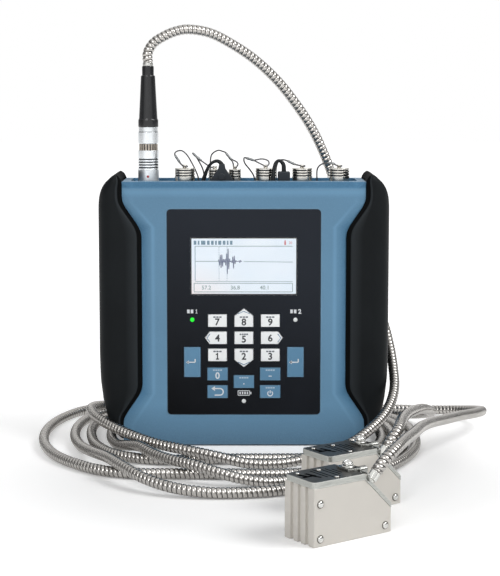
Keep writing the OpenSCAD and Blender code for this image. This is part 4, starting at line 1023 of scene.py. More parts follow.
def softened(table, z, reach=3.0):
    """A table's value averaged over a short reach, so that its corners are round."""
    reach = min(reach, z - table[0][0], table[-1][0] - z)
    spots = [z + reach * share for share in (-1, -0.6, -0.2, 0.2, 0.6, 1)]
    return sum(at_height(table, spot) for spot in spots) / len(spots)


def grip_section(z, rim):
    """Half outline of a grip at a height, from its inner front edge to its outer side."""
    inner, outer = softened(GRIP_INNER, z), softened(GRIP_OUTER, z, 4.0)
    width = max(outer - inner, 0.4)
    rise = min(z - GRIP_LOW, GRIP_HIGH - z, GRIP_EDGE) / GRIP_EDGE
    face = GRIP_HALF_D - GRIP_EDGE * (1 - math.sqrt(max(0.0, 1 - (1 - rise) ** 2)))
    rim, step = min(rim, 0.2 * width), min(1.6, 0.1 * width)
    crown = inner + rim + step
    corner = min(GRIP_CORNER, 0.9 * (outer - crown))
    centre = outer - corner
    seat = min(GRIP_HALF_D - RIM_DROP, face - 0.2)
    points = [(inner, seat - 0.9), (inner + 0.15 * rim, seat - 0.1), (inner + 0.75 * rim, seat),
              (inner + rim, seat + 0.25), (inner + rim + 0.35 * step, face - 0.45), (crown, face - 0.08),
              ((crown + centre) / 2, face)]
    for k in range(13):
        ahead, aside = wave(90 * k / 12)
        points.append((centre + corner * aside, face - corner * (1 - ahead)))
    return points + [(outer, 0.35 * (face - corner))], inner, outer


def grip_mesh(name, side, rim):
    """One grip as a skin led up its height, closed against the shells."""
    count = int((GRIP_HIGH - GRIP_LOW) / GRIP_ROW)
    heights = [GRIP_LOW + (GRIP_HIGH - GRIP_LOW) * k / count for k in range(count + 1)]
    heights += [GRIP_LOW + step for step in GRIP_STARTS] + [GRIP_HIGH - step for step in GRIP_ENDS]
    rings, rim_shade_and_crest_light = [], []
    for z in sorted(heights):
        front, inner, outer = grip_section(z, rim)
        core = min(max(at_height(GRIP_CORE, z), inner + 0.1), outer - 0.2)
        back = [(inner, CORE_HALF_D - 1.0), (core, CORE_HALF_D - 1.4)]
        ring = [(x, -y) for x, y in front] + front[::-1] + back + [(x, -y) for x, y in back[::-1]]
        rings.append([mm(side * x, y, z) for x, y in ring])
        # 1 marks the rim's painted shade, -1 the crest's painted highlight
        half = [1.0] * RIM_POINTS + [-1.0] * CREST_POINTS + [0.0] * (len(front) - RIM_POINTS - CREST_POINTS)
        rim_shade_and_crest_light += half + half[::-1] + [1.0] * 4
    return loft(name, rings, "grip_skin", share=("rim", rim_shade_and_crest_light))


class FLOWMETER_OT_shells(bpy.types.Operator):
    """Finish the blue shells and lead the rubber grips round them"""
    bl_idname = "flow_meter.shells"
    bl_label = "Shells and grips"

    def execute(self, context):
        wanted = sizes()
        for node in ("front_shell", "rear_shell"):
            dress(node, "blue_skin", wanted.shell_bevel / MM, 3)
        dress("shell_seal", "seal", 0.3)
        dress("battery_cover", "blue_skin", 0.6)
        dress("housing_screws", "nickel", 0.3)
        for node, side in (("left_grip", -1), ("right_grip", 1)):
            put(grip_mesh(f"{node}_skin", side, wanted.grip_rim / MM), "root", "grip_rubber", node)
        return {"FINISHED"}


class FLOWMETER_OT_inside(bpy.types.Operator):
    """Finish the pieces inside the shells"""
    bl_idname = "flow_meter.inside"
    bl_label = "Inner pieces"

    def execute(self, context):
        dress("main_board", "board", 0.1, 1)
        dress("key_mat", "seal", 0.2)
        dress("battery_pack", "pack_wrap", 1.0)
        return {"FINISHED"}


# Printed marks, in millimetres; each strip is a left and a right edge in the XZ plane

# Width of a pointed strip's tip
TIP_W = 0.01


def ribbon(width, *points):
    """A line of a given width through points, with mitred corners."""
    points = [Vector(p) for p in points]
    left, right = [], []
    for i, point in enumerate(points):
        before = (point - points[i - 1]).normalized() if i else None
        after = (points[i + 1] - point).normalized() if i < len(points) - 1 else None
        along = ((before or after) + (after or before)).normalized()
        across = Vector((-along.y, along.x))
        reference = before or after
        stretch = 1 / max(0.35, abs(across.dot(Vector((-reference.y, reference.x)))))
        left.append(point + across * width / 2 * stretch)
        right.append(point - across * width / 2 * stretch)
    return left, right


def bar(x, z, width, height):
    """A bar round a point."""
    return ribbon(height, (x - width / 2, z), (x + width / 2, z))


def frame_strips(corners, width):
    """Lines from corner to corner, back to the first."""
    return [ribbon(width, a, b) for a, b in zip(corners, corners[1:] + corners[:1])]


def ring_strip(x, z, radius, width, start=0.0, end=360.0, sides=28):
    """A ring or an arc."""
    outs = [Vector(wave(start + (end - start) * k / sides)) for k in range(sides + 1)]
    return tuple([Vector((x, z)) + out * (radius + half) for out in outs] for half in (width / 2, -width / 2))


def wedge(x, z, length, rise):
    """A head that points to the left, from its tip."""
    return ([Vector((x, z)), Vector((x + length, z + rise))],
            [Vector((x, z - TIP_W)), Vector((x + length, z - rise))])


def mark_row(x, z, width, height, count, gap_share=0.2):
    """A row of short bars that stands in for small print."""
    step = width / count
    return [bar(x - width / 2 + step * (k + 0.5), z, step * (1 - gap_share), height) for k in range(count)]


def printed(name, strips, face_y, finish_name):
    """Strips as thin print on a face that looks to the front; each gets its front, back and edges."""
    vertices, faces = [], []
    for left, right in strips:
        start, count = len(vertices), len(left)
        for y in (face_y - sizes().mark_t / MM, face_y):
            vertices += [mm(p.x, y, p.y) for p in (*left, *right)]
        back = 2 * count
        for a in range(start, start + count - 1):
            b, c, d = a + 1, a + count + 1, a + count
            faces += [(a, b, c, d), (a + back, d + back, c + back, b + back)]
            faces += [(a, a + back, b + back, b), (c, c + back, d + back, d)]
        for a in (start, start + count - 1):
            faces.append((a, a + count, a + count + back, a + back))
    return mesh_object(name, vertices, faces, finish_name, smooth=False, weld=0)


# Height of a numeral as a share of its letters' size
NUMERAL_SHARE = 0.7


def numeral(name, text, x, z, height, face_y, finish_name, weight=0.02):
    """Plain numerals as thin print, centred on a point of a front face."""
    if text == "1":
        line = height * (0.13 + weight)
        top, foot, half = z + height / 2, z - height / 2, height * 0.22
        strokes = [ribbon(line, (x, foot), (x, top)),
                   ribbon(line * 0.9, (x + line / 2, top - line / 2), (x - height * 0.24, top - height * 0.24)),
                   ribbon(line, (x - half, foot + line / 2), (x + half, foot + line / 2))]
        return printed(name, strokes, face_y, finish_name)
    thick = sizes().mark_t
    curve = bpy.data.curves.new(name, "FONT")
    curve.body = text
    curve.align_x = curve.align_y = "CENTER"
    curve.size, curve.offset = height * MM / NUMERAL_SHARE, weight * height * MM
    curve.extrude, curve.resolution_u = thick / 2, 4
    words = placed(name, curve, (x * MM, face_y * MM - thick / 2, z * MM), (math.pi / 2, 0, 0))
    mesh = evaluated_mesh(words)
    mesh.transform(words.matrix_world)
    bpy.data.objects.remove(words)
    points = [v.co for v in mesh.vertices]
    middle_x, middle_z = [(min(p[i] for p in points) + max(p[i] for p in points)) / 2 for i in (0, 2)]
    mesh.transform(Matrix.Translation((x * MM - middle_x, 0, z * MM - middle_z)))
    return linked(name, mesh, finish_name)


# Radius of a light, share of it that its lens fills, and the lens's rise
LENS_R, LENS_SHARE, LENS_RISE = 1.75, 0.95, 0.5
# Bursts of the trace on the screen: place, width and size
TRACE_BURSTS = ((0.12, 0.07, 0.95), (0.38, 0.08, 1.12), (0.66, 0.07, 0.55), (0.92, 0.04, 0.2))
TRACE_POINTS = 150
# Words on the screen's upper edge, as shares of its width, and the values on its lower edge
SCREEN_WORDS = (0.03, 0.02, 0.05, 0.03, 0.03, 0.02, 0.035, 0.03, 0.02, 0.03)
SCREEN_VALUES = (("57.2", 0.15), ("36.8", 0.42), ("40.1", 0.69))
SCREEN_LEFT, SCREEN_RIGHT, SCREEN_LINE = 0.045, 0.955, 0.5


class FLOWMETER_OT_panel(bpy.types.Operator):
    """Finish the front panel with its window, lights and plain marks"""
    bl_idname = "flow_meter.panel"
    bl_label = "Front panel"

    def execute(self, context):
        dress("front_panel", "panel_film", 0.25)
        dress("display_window", "window", 0.12)
        self.lights()
        self.screen()
        y = box_mm("front_panel")[0].y
        low, high = box_mm("status_lights")
        middle, aside, z = (low.x + high.x) / 2, high.x - LENS_R, high.z - LENS_R + 6.6
        marks = []
        for text, x in (("1", middle - aside), ("2", middle + aside)):
            marks += [numeral(f"mark_{text}", text, x + 3.3, z, 3.4, y, "white_ink", 0.05),
                      printed(f"word_{text}", mark_row(x - 1.6, z, 5.6, 2.9, 2, 0.3), y, "white_ink")]
        width, height, z = 9, 3.6, low.z + LENS_R + 6.4
        corners = [(middle + a * width / 2, z + b * height / 2) for a, b in ((-1, -1), (1, -1), (1, 1), (-1, 1))]
        battery = [*frame_strips(corners, 0.6), bar(middle + width / 2 + 0.9, z, 0.9, height * 0.5)]
        battery += [bar(middle - width / 2 + 1.6 + 1.9 * k, z, 1.1, height * 0.55) for k in range(4)]
        marks.append(printed("battery_mark", battery, y, "white_ink"))
        put(joined("panel_marks", marks), "root", "panel_film")
        return {"FINISHED"}

    def lights(self):
        low, high = box_mm("status_lights")
        rim, depth = LENS_R * LENS_SHARE, high.y - low.y - LENS_RISE
        outline = [(rim, 0), (rim, depth), *domed(rim, LENS_RISE, depth, 20, 40, 60, 78)]
        for name, x, z, look in (("channel_light_1", low.x + LENS_R, high.z - LENS_R, "lamp_green"),
                                 ("channel_light_2", high.x - LENS_R, high.z - LENS_R, "lamp_off"),
                                 ("battery_light", (low.x + high.x) / 2, low.z + LENS_R, "lamp_off")):
            put(turned(name, outline, mm(x, high.y, z), look, FRONT, 28), "root", "light_lens", "status_lights")

    def screen(self):
        dress("display_module", "screen", 0.1, 1)
        (low, high), y = box_mm("display_window"), box_mm("display_module")[0].y
        width, height = high.x - low.x, high.z - low.z
        left, right, line = SCREEN_LEFT, SCREEN_RIGHT, SCREEN_LINE

        def spot(across, up):
            return low.x + across * width, low.z + up * height

        def stroke(thick, *spots):
            return ribbon(thick, *(spot(*s) for s in spots))

        corners = [spot(*s) for s in ((left - 0.01, 0.055), (right, 0.055), (right, 0.205), (left - 0.01, 0.205))]
        grey = [stroke(line, (left, 0.845), (right, 0.845)), *frame_strips(corners, line),
                stroke(line * 0.8, (left, 0.235), (right, 0.235)), stroke(line, (left, 0.585), (0.27, 0.585)),
                stroke(line, (0.5, 0.58), (right, 0.572))]
        teal, x = [stroke(line, (left, 0.25), (left, 0.845))], 0.03
        for share in SCREEN_WORDS:
            teal.append(bar(*spot(x + share / 2, 0.905), share * width * 0.8, height * 0.068))
            x += share + 0.008
        trace = []
        for t in (k / (TRACE_POINTS - 1) for k in range(TRACE_POINTS)):
            swing = sum(size * math.exp(-((t - at) / wide) ** 2) for at, wide, size in TRACE_BURSTS)
            beat = math.sin(t * 95) * (0.75 + 0.25 * math.sin(t * 31 + 1))
            trace.append((0.262 + 0.22 * t, 0.585 + 0.245 * swing * beat))
        trace = [stroke(line * 1.1, a, b) for a, b in zip(trace, trace[1:])]
        gates = [stroke(line, (x, 0.25 + 0.03 * k), (x, 0.262 + 0.03 * k)) for x in (0.268, 0.343) for k in range(20)]
        red = [bar(*spot(0.885, 0.90), 1.3, 3.0), bar(*spot(0.885, 0.945), 0.7, 0.6)]
        pieces = [printed(f"screen_{name}", strips, y, f"screen_{colour}") for name, strips, colour in (
            ("lines", grey, "grey"), ("axis", teal, "teal"), ("trace", trace, "blue"), ("gates", gates, "teal"),
            ("battery", red, "red"))]
        pieces.append(numeral("screen_share", "20", *spot(0.935, 0.905), 1.9, y, "screen_red", 0.0))
        pieces += [numeral("screen_value", text, *spot(across, 0.13), 3.0, y, "screen_grey")
                   for text, across in SCREEN_VALUES]
        put(joined("screen_marks", pieces), "root", "display_face")


WHITE_KEYS = "123456789"
BLUE_KEYS = ("0", "minus", "point", "back", "clear", "enter_left", "enter_right")
# Blue keys with a row of small print over their sign
LOW_ROW = ("0", "minus", "point", "clear")
# Ways in which a white key's pointed side looks
ARROW_TIPS = {"8": (0, 1), "2": (0, -1), "4": (-1, 0), "6": (1, 0)}
# A key's square part, the flange round it and the rounding of its edges
KEY_W, KEY_H, KEY_FLANGE, KEY_EDGE = 14.4, 9.6, 0.9, 0.35


class FLOWMETER_OT_keys(bpy.types.Operator):
    """Finish the keys and print their numerals and signs"""
    bl_idname = "flow_meter.keys"
    bl_label = "Keys"

    def execute(self, context):
        for names, colour, marks in (
                (WHITE_KEYS, "white_key", self.white_marks), (BLUE_KEYS, "blue_key", self.blue_marks)):
            for name in names:
                node = f"key_{name}"
                low, high = box_mm(node)
                dress(node, f"{colour}_skin", KEY_EDGE)
                piece = joined(f"{node}_print", marks(name, low, high))
                bodies = frame["record"]["behaviour"]["bodies"]
                put(piece, next(body for body, members in bodies.items() if node in members), colour)
        return {"FINISHED"}

    def white_marks(self, digit, low, high):
        """Numeral, small print and the pointed side's outline on a white key."""
        tip, y = ARROW_TIPS.get(digit, (0, 0)), low.y
        x = (low.x + high.x) / 2 - tip[0] * ((high.x - low.x) / 2 - KEY_FLANGE - KEY_W / 2)
        z = (low.z + high.z) / 2 - tip[1] * ((high.z - low.z) / 2 - KEY_FLANGE - KEY_H / 2)
        drop = 0.0 if tip[0] else -0.9
        pieces = [numeral(f"{digit}_numeral", digit, x, z + drop, 5.2, y, "black_ink", 0.035)]
        if not tip[0]:
            row = mark_row(x, z + 2.9, 6.8, 1.15, 4 if digit == "5" else 3)
            pieces.append(printed(f"{digit}_small", row, y, "grey_ink"))
        if any(tip):
            reach, wing, back = (KEY_H / 2 + 2.7, 4.6, 2.1) if tip[1] else (KEY_W / 2 + 1.0, 3.2, 2.4)
            out, across = Vector(tip), Vector(tip[::-1])
            point = Vector((x, z)) + out * reach
            ends = [point - out * back + across * wing, point, point - out * back - across * wing]
            pieces.append(printed(f"{digit}_tip", [ribbon(0.5, *ends)], y, "blue_ink"))
        return pieces

    def blue_marks(self, name, low, high):
        """Numeral, sign and small print on a blue key."""
        x, y, z = (low.x + high.x) / 2, low.y, (low.z + high.z) / 2
        signs = {
            "minus": [bar(x, z - 1.5, 2.4, 0.8)],
            "point": [bar(x, z - 1.6, 0.9, 0.9)],
            "back": [ring_strip(x + 1.8, z, 2.6, 1.0, 90, -90, 16), bar(x - 0.2, z + 2.6, 4.2, 1.0),
                     bar(x - 0.2, z - 2.6, 4.2, 1.0), wedge(x - 4.8, z + 2.6, 2.8, 1.95)],
            "clear": [ring_strip(x, z - 1.3, 1.9, 0.75, 125, 415), ribbon(0.75, (x, z - 1.2), (x, z + 1.2))],
            "enter": [bar(x - 1.0, z, 6.2, 0.9), ribbon(0.9, (x + 2.2, z), (x + 2.2, z + 2.6)),
                      wedge(x - 5.0, z, 2.2, 1.5)],
        }
        if name == "0":
            pieces = [numeral("0_numeral", "0", x, z - 1.1, 5.0, y, "white_ink", 0.035)]
        else:
            pieces = [printed(f"{name}_sign", signs[name.split("_")[0]], y, "white_ink")]
        if name in LOW_ROW:
            pieces.append(printed(f"{name}_small", mark_row(x, z + 3.2, 7.4, 1.15, 4), y, "pale_ink"))
        return pieces


# Connectors on top

# The knob on each cap: height and radius
KNOB_H, KNOB_R = 2.7, 1.8
# Depths of the grooves' middles below the cap's top, from the lowest
CAP_GROOVES = (5.7, 3.6, 1.5)
CAP_GROOVE_H, CAP_GROOVE_DEPTH = 1.0, 0.7

# Lanyards: the wire's points, the crimped sleeve's ends and the eye round the knob
LANYARDS = (
    ([(-48.3, 0, 217.6), (-50.5, 0, 220), (-54, -0.5, 225.6), (-53.7, -0.5, 228), (-51, 0, 229.3), (-48, 0.5, 228.9),
      (-44.5, 1.5, 225.6), (-41, 2.5, 219.6), (-38, 3.5, 213.5), (-36, 4, 208), (-35, 4, 202.2)],
     [(-50.2, 0, 219.8), (-54.2, -0.5, 226)],
     [(-48.3, 0, 217.6), (-47, -2.2, 217), (-44.7, -1.2, 217), (-44.4, 0.8, 217), (-46, 2.3, 217.2),
      (-48.2, 1.2, 217.8), (-50, 0.3, 219.6)]),
    ([(-24.9, 9, 215.4), (-27.5, 9, 216.6), (-31.5, 9, 219.4), (-37.5, 9, 223.6), (-40.5, 9, 227)],
     [(-33.5, 9, 220.8), (-40.8, 9, 227.2)],
     [(-37.5, 9, 223.6), (-34.8, 9.4, 219), (-32.5, 10, 214), (-31.5, 11, 208), (-32.1, 15, 202.2)]),
    ([(-8.2, 9, 215.4), (-9, 9, 220), (-13.5, 9.4, 226.6), (-17.2, 12.6, 228.3), (-20.6, 16.4, 228.8),
      (-24.6, 17.8, 226.6), (-26.4, 17.8, 223), (-26.8, 17.4, 215), (-26.6, 16.6, 202.2)],
     [(-9.3, 9, 221), (-14.4, 9, 227.2)],
     [(-7.1, 7, 215), (-4.9, 8.4, 217.4), (-5.4, 9, 219.8), (-9.6, 9.2, 222.2), (-13.6, 9, 226.4)]),
    ([(15.5, 0, 217.8), (10.5, 0, 220.3), (7.5, -0.3, 221.8), (1.2, -0.6, 223.9), (0, -0.6, 222.4), (1, 0.4, 219),
      (5, 3.4, 213.8), (7.8, 6.4, 209), (9.5, 8.2, 202.2)],
     [(8.6, -0.2, 221.5), (1.4, -0.6, 223.7)],
     [(15.7, 0.2, 217.6), (17.4, -2, 217.2), (19.6, -0.4, 218.6), (19, 0, 221.4), (14.5, 0, 222.8), (8.8, -0.2, 222)]),
    ([(44.2, 0, 217.6), (40, -0.4, 218.6), (34.5, -0.8, 221.2), (30, -1, 222.3), (27, 0, 220.6), (25.4, 2.6, 215),
      (25.4, 5, 208), (25.6, 5.4, 202.2)],
     [(40.6, -0.4, 218.4), (34, -0.8, 221.4)],
     [(44.2, 0.3, 217.6), (46, -2.1, 217), (48, 0, 217.3), (46.6, 2, 217.4), (44, 1.3, 217.6), (41, -0.2, 218.4)]),
    ([(73.2, 0, 217.6), (69.5, -0.4, 219.3), (65, -0.6, 219.6), (60.5, -0.4, 218.4), (57.8, 0.6, 215), (57.5, 2.6, 209),
      (58, 4, 202.2)],
     [(71.6, -0.2, 218.9), (65, -0.6, 219.8)],
     [(73.2, 0.3, 217.6), (75, -2.1, 217), (77, 0, 217.3), (75.6, 2, 217.4), (73, 1.3, 217.8), (71.6, 0, 218.6)]),
)
# Widths along a crimped sleeve, as shares of the wire's diameter
CRIMP_SHARES = (0.6, 0.86, 0.92, 0.78, 0.92, 0.86, 0.6)
# Straps: the points from each rubber cover down to its foot on the deck
STRAPS = {
    "rubber_cover_wide": [(-17, -6, 216), (-17.6, -6, 219.4), (-20.6, -5.8, 221.4), (-24.4, -5.2, 220.4),
                          (-27.6, -4.4, 217), (-30, -3.6, 211.6), (-31.6, -3, 206.6), (-32.2, -3, 202.2)],
    "rubber_cover_narrow": [(31.3, -6, 213), (31, -6.2, 218.2), (29, -6.8, 221.2), (26.4, -7.8, 221.6),
                            (24.2, -8.8, 219), (23.2, -9.8, 213), (22.9, -10.4, 207), (22.9, -10.5, 202.2)],
}


def groove(radius, z, half, depth, slant):
    """Outline of a groove round a turned piece, from below."""
    inner = radius - depth
    return [(radius, z - half), (inner, z - half + slant), (inner, z + half - slant), (radius, z + half)]


def band(radius, low, high):
    """Outline of a plain band."""
    return [(radius, low), (radius, high)]


class FLOWMETER_OT_connectors(bpy.types.Operator):
    """Finish the deck, the sockets, the caps and the rubber covers"""
    bl_idname = "flow_meter.connectors"
    bl_label = "Connectors"

    def execute(self, context):
        dress("connector_deck", "deck_skin", 0.3)
        dress("sockets", "nickel", 0.3)
        dress("service_ports", "dark_nickel", 0.3)
        for index in range(1, 7):
            self.cap(f"socket_cap_{index}")
        for node in STRAPS:
            dress(node, "cover_rubber", 0.9, 3)
        self.lanyards()
        self.straps()
        return {"FINISHED"}

    def cap(self, node):
        """Protective cap: ribbed upper half, smooth band and the knob of its lanyard."""
        low, high = box_mm(node)
        centre = mm((low.x + high.x) / 2, (low.y + high.y) / 2, low.z)
        radius, top = (high.x - low.x) / 2, high.z - low.z - KNOB_H
        rows = [(radius - 0.2, 0.0), (radius, 0.2)]
        for drop in CAP_GROOVES:
            rows += groove(radius, top - drop, CAP_GROOVE_H / 2, CAP_GROOVE_DEPTH, 0.12)
        rows += [(radius, top - 0.35), (radius - 0.35, top), (KNOB_R * 0.8, top + 0.05), (KNOB_R * 0.7, top + 0.35),
                 (KNOB_R, top + 0.7), (KNOB_R, top + KNOB_H - 0.3), (KNOB_R - 0.3, top + KNOB_H)]
        # Dark bands at the grooves' floors are painted shade
        dark, half = radius - CAP_GROOVE_DEPTH + 0.06, CAP_GROOVE_H * 0.42
        outlines = [("nickel", rows)] + [
            ("groove_dark", band(dark, top - drop - half, top - drop + half)) for drop in CAP_GROOVES[::-1]]
        piece = joined(node + "_turned", [turned(node, rows, centre, look, sides=48) for look, rows in outlines])
        put(round_edges(piece, 0.1, angle=35.0), node, "nickel_steel", node)

    def lanyards(self):
        """Steel wire from each cap's knob, through a crimped sleeve, down to the deck."""
        wire = sizes().wire_d
        for index, (arc, crimp, eye) in enumerate(LANYARDS, 1):
            start, end = (mm(*p) for p in crimp)
            sleeve = [start.lerp(end, k / 6) for k in range(7)]
            pieces = [wire_tube("wire", arc, wire, "wire"), wire_tube("eye", eye, wire, "wire"),
                      round_tube("crimp", sleeve, [wire * share for share in CRIMP_SHARES], "crimp")]
            self.follow(joined(f"lanyard_{index}", pieces), f"socket_cap_{index}", arc, "cap_lanyards", "lanyard_steel")

    def straps(self):
        """Rubber straps that bow from each cover down to the deck."""
        for name, points in STRAPS.items():
            line = smooth_line(points)
            radii = [sizes().strap_d / 2 * (1.0 + 0.2 * wave(360 * k / (len(line) - 1))[0]) for k in range(len(line))]
            piece = round_tube(f"{name}_strap", line, radii, "strap_rubber", 14)
            self.follow(piece, name, points, "cover_straps", "cover_rubber")

    def follow(self, piece, body, points, node, slot):
        """Bakes the piece's placement into its mesh and hides the node it stands for."""
        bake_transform(piece)
        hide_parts(node)


# Radius of the plug's barrel, heights of the sleeve's grooves, and sides of the turned pieces
BARREL_R, SLEEVE_GROOVES, PLUG_SIDES = 7.45, (2.0, 4.15, 6.3, 8.45), 56
# The slotted ring round the plug: radii, number of its slots and the share of the ribs between them
RING_OUTER, RING_INNER, RING_SLOTS, RING_SHARE = 7.3, 6.9, 20, 0.66


class FLOWMETER_OT_plug(bpy.types.Operator):
    """Turn the plug, its sleeve and the boot"""
    bl_idname = "flow_meter.plug"
    bl_label = "Plug"

    def execute(self, context):
        (low, high), (boot_low, boot_high) = box_mm("plug_body"), box_mm("plug_boot")
        sleeve_low, sleeve_high = box_mm("plug_sleeve")
        radius, x = (sleeve_high.x - sleeve_low.x) / 2, (sleeve_low.x + sleeve_high.x) / 2
        centre, start = mm(x, 0, low.z), mm(x, 0, sleeve_low.z)
        collar = sleeve_low.z - low.z - 0.05
        ring, top = sleeve_high.z - low.z, high.z - low.z
        barrel, step = top - 12.8, top - 4.0
        body = [("plug_chrome", [
            (6.1, 0.0), (6.1, collar), (6.1, ring - 3.0), (6.8, ring - 3.0), (6.8, barrel - 0.3), (7.2, barrel - 0.3),
            (7.2, barrel), (7.9, barrel), (7.9, step), (BARREL_R, step), (BARREL_R, top)])]
        # Dark bands behind the ring's slots, at the barrel's step and round the collar's foot are painted shade
        body += [("groove_dark", band(6.96, ring - 2.8, barrel - 0.5)),
                 ("groove_dark", band(7.5, step + 0.05, step + 0.5)),
                 ("groove_dark", band(radius + 0.02, 0.2, 0.8)), ("plug_satin", band(radius, 0.0, collar))]
        body = self.turned_all(body, centre)
        body.insert(1, self.slotted_ring(centre + mm(0, 0, ring - 2.9), barrel - ring + 2.5))
        put(round_edges(joined("plug_body_turned", body), 0.15, angle=35.0), "root", "plug_chrome", "plug_body")

        height = sleeve_high.z - sleeve_low.z
        rows = [(radius, 0.0)]
        for z in SLEEVE_GROOVES:
            rows += groove(radius, z, 0.5, 0.6, 0.1)
        rows += [(radius, height), (BARREL_R, height), (BARREL_R, height - 5.8), (6.3, height - 5.8)]
        # Dark bands in the sleeve's grooves are painted shade
        sleeve = [("plug_chrome", rows)] + [
            ("groove_dark", band(radius - 0.5, z - 0.42, z + 0.42)) for z in SLEEVE_GROOVES]
        sleeve = joined("plug_sleeve_turned", self.turned_all(sleeve, start))
        put(round_edges(sleeve, 0.15, angle=35.0), "plug_sleeve", "plug_chrome", "plug_sleeve")

        dot = turned("plug_dot", [(1.0, -0.3), (1.0, 0.08), (0.7, 0.16)], centre + mm(0, -radius, 4.6),
                     "red_dot", FRONT, 20)
        put(dot, "root", "plug_chrome")

        top = boot_high.z - boot_low.z
        boot = turned("plug_boot_moulded", [
            (7.7, 0.0), (7.85, 0.3), (7.85, 5.4), (7.5, 6.0), (7.3, 6.1), (7.3, 6.5), (7.2, 6.9), (6.35, 23),
            (5.55, 39.4), (5.3, 40), (4.7, 40.1), (4.6, 40.5), (4.6, top - 0.8), (4.3, top - 0.2), (4.1, top)],
            mm(x, 0, boot_low.z), "boot_rubber", sides=PLUG_SIDES)
        put(round_edges(boot, 0.15, angle=35.0), "root", "boot_rubber", "plug_boot")
        return {"FINISHED"}

    def turned_all(self, outlines, centre):
        return [turned("plug_part", rows, centre, look, sides=PLUG_SIDES) for look, rows in outlines]

    def slotted_ring(self, centre, height):
        """A ring with upright slots round its side."""
        spots = []
        for k in range(RING_SLOTS):
            for share, radius in ((0.0, RING_OUTER), (RING_SHARE * 0.5, RING_OUTER), (RING_SHARE, RING_OUTER),
                                  (RING_SHARE, RING_INNER), (1.0, RING_INNER)):
                across, deep = wave(360 * (k + share) / RING_SLOTS)
                spots.append((radius * across, radius * deep))
        rings = [[centre + mm(x, y, z) for x, y in spots] for z in (0, height)]
        return loft("plug_ring", rings, "ring_bronze", smooth=False)


# Transducers: the near lower corner of each, then the block's sizes in millimetres
PLACES = {"front": mm(43, -294.3, 0), "rear": mm(55.7, -228.5, 0)}
BLOCK_L, BLOCK_W, BLOCK_H = 62, 30, 36.8
FLAT_TOP, LOW_END = 40.5, 15.6
# The cover: thickness on the flat top, rise over the low end, and corner radius
COVER_T, SLOPE_RISE, COVER_CORNER = 3.9, 3.37, 3.2
COVER_TOP = BLOCK_H + COVER_T
# Rivets and small screws: radius and rise of their domes, the rivets' distance from the edges
RIVET_R, RIVET_RISE, RIVET_INSET = 2.6, 1.4, 5
COVER_SCREW_R, COVER_SCREW_RISE = 1.9, 0.75
COVER_SCREWS = ((6.08, 24.6), (22.28, 24.0), (21.06, 4.2))
# Marks on the cover: width, then the ends of each line
COVER_LINES = [(0.95, (x, y0), (x, y1)) for x, y0, y1 in (
    (16.2, 7, 25), (19.4, 4.5, 27), (24.2, 4.5, 26), (27.4, 9, 24), (30.4, 11, 21))]
COVER_ARROW = ((2.6, (2.6, 14.6), (12.6, 14.6)), (2.8, (6.4, 15), (4.4, 21.5)), (2.6, (11.2, 15), (9.6, 21.5)),
               (2.2, (10.0, 14.2), (12.4, 8.6)))
# Clip on the cover: its plate's corners and their radius, its rolled end and its wire hook
CLIP_LOW, CLIP_HIGH, CLIP_R = (34, 8.5, 40.7), (44, 21.5, 42.3), 1.5
CLIP_ROLL = ((2.4, 0.0), (2.4, 6.3), (2.2, 6.5), (1.5, 6.5), (1.4, 6.2), (1.4, 0.5))
CLIP_HOOK = ((43.2, 9.4, 41.9), (43.7, 7.4, 40.6), (43.0, 4.8, 40.0), (42.4, 2.0, 40.5), (42.2, -0.4, 40.2),
             (42.5, -1.1, 38.4), (42.9, -0.9, 36.6), (43.5, -0.6, 35.6))
HOOK_D = 1.3 * MM


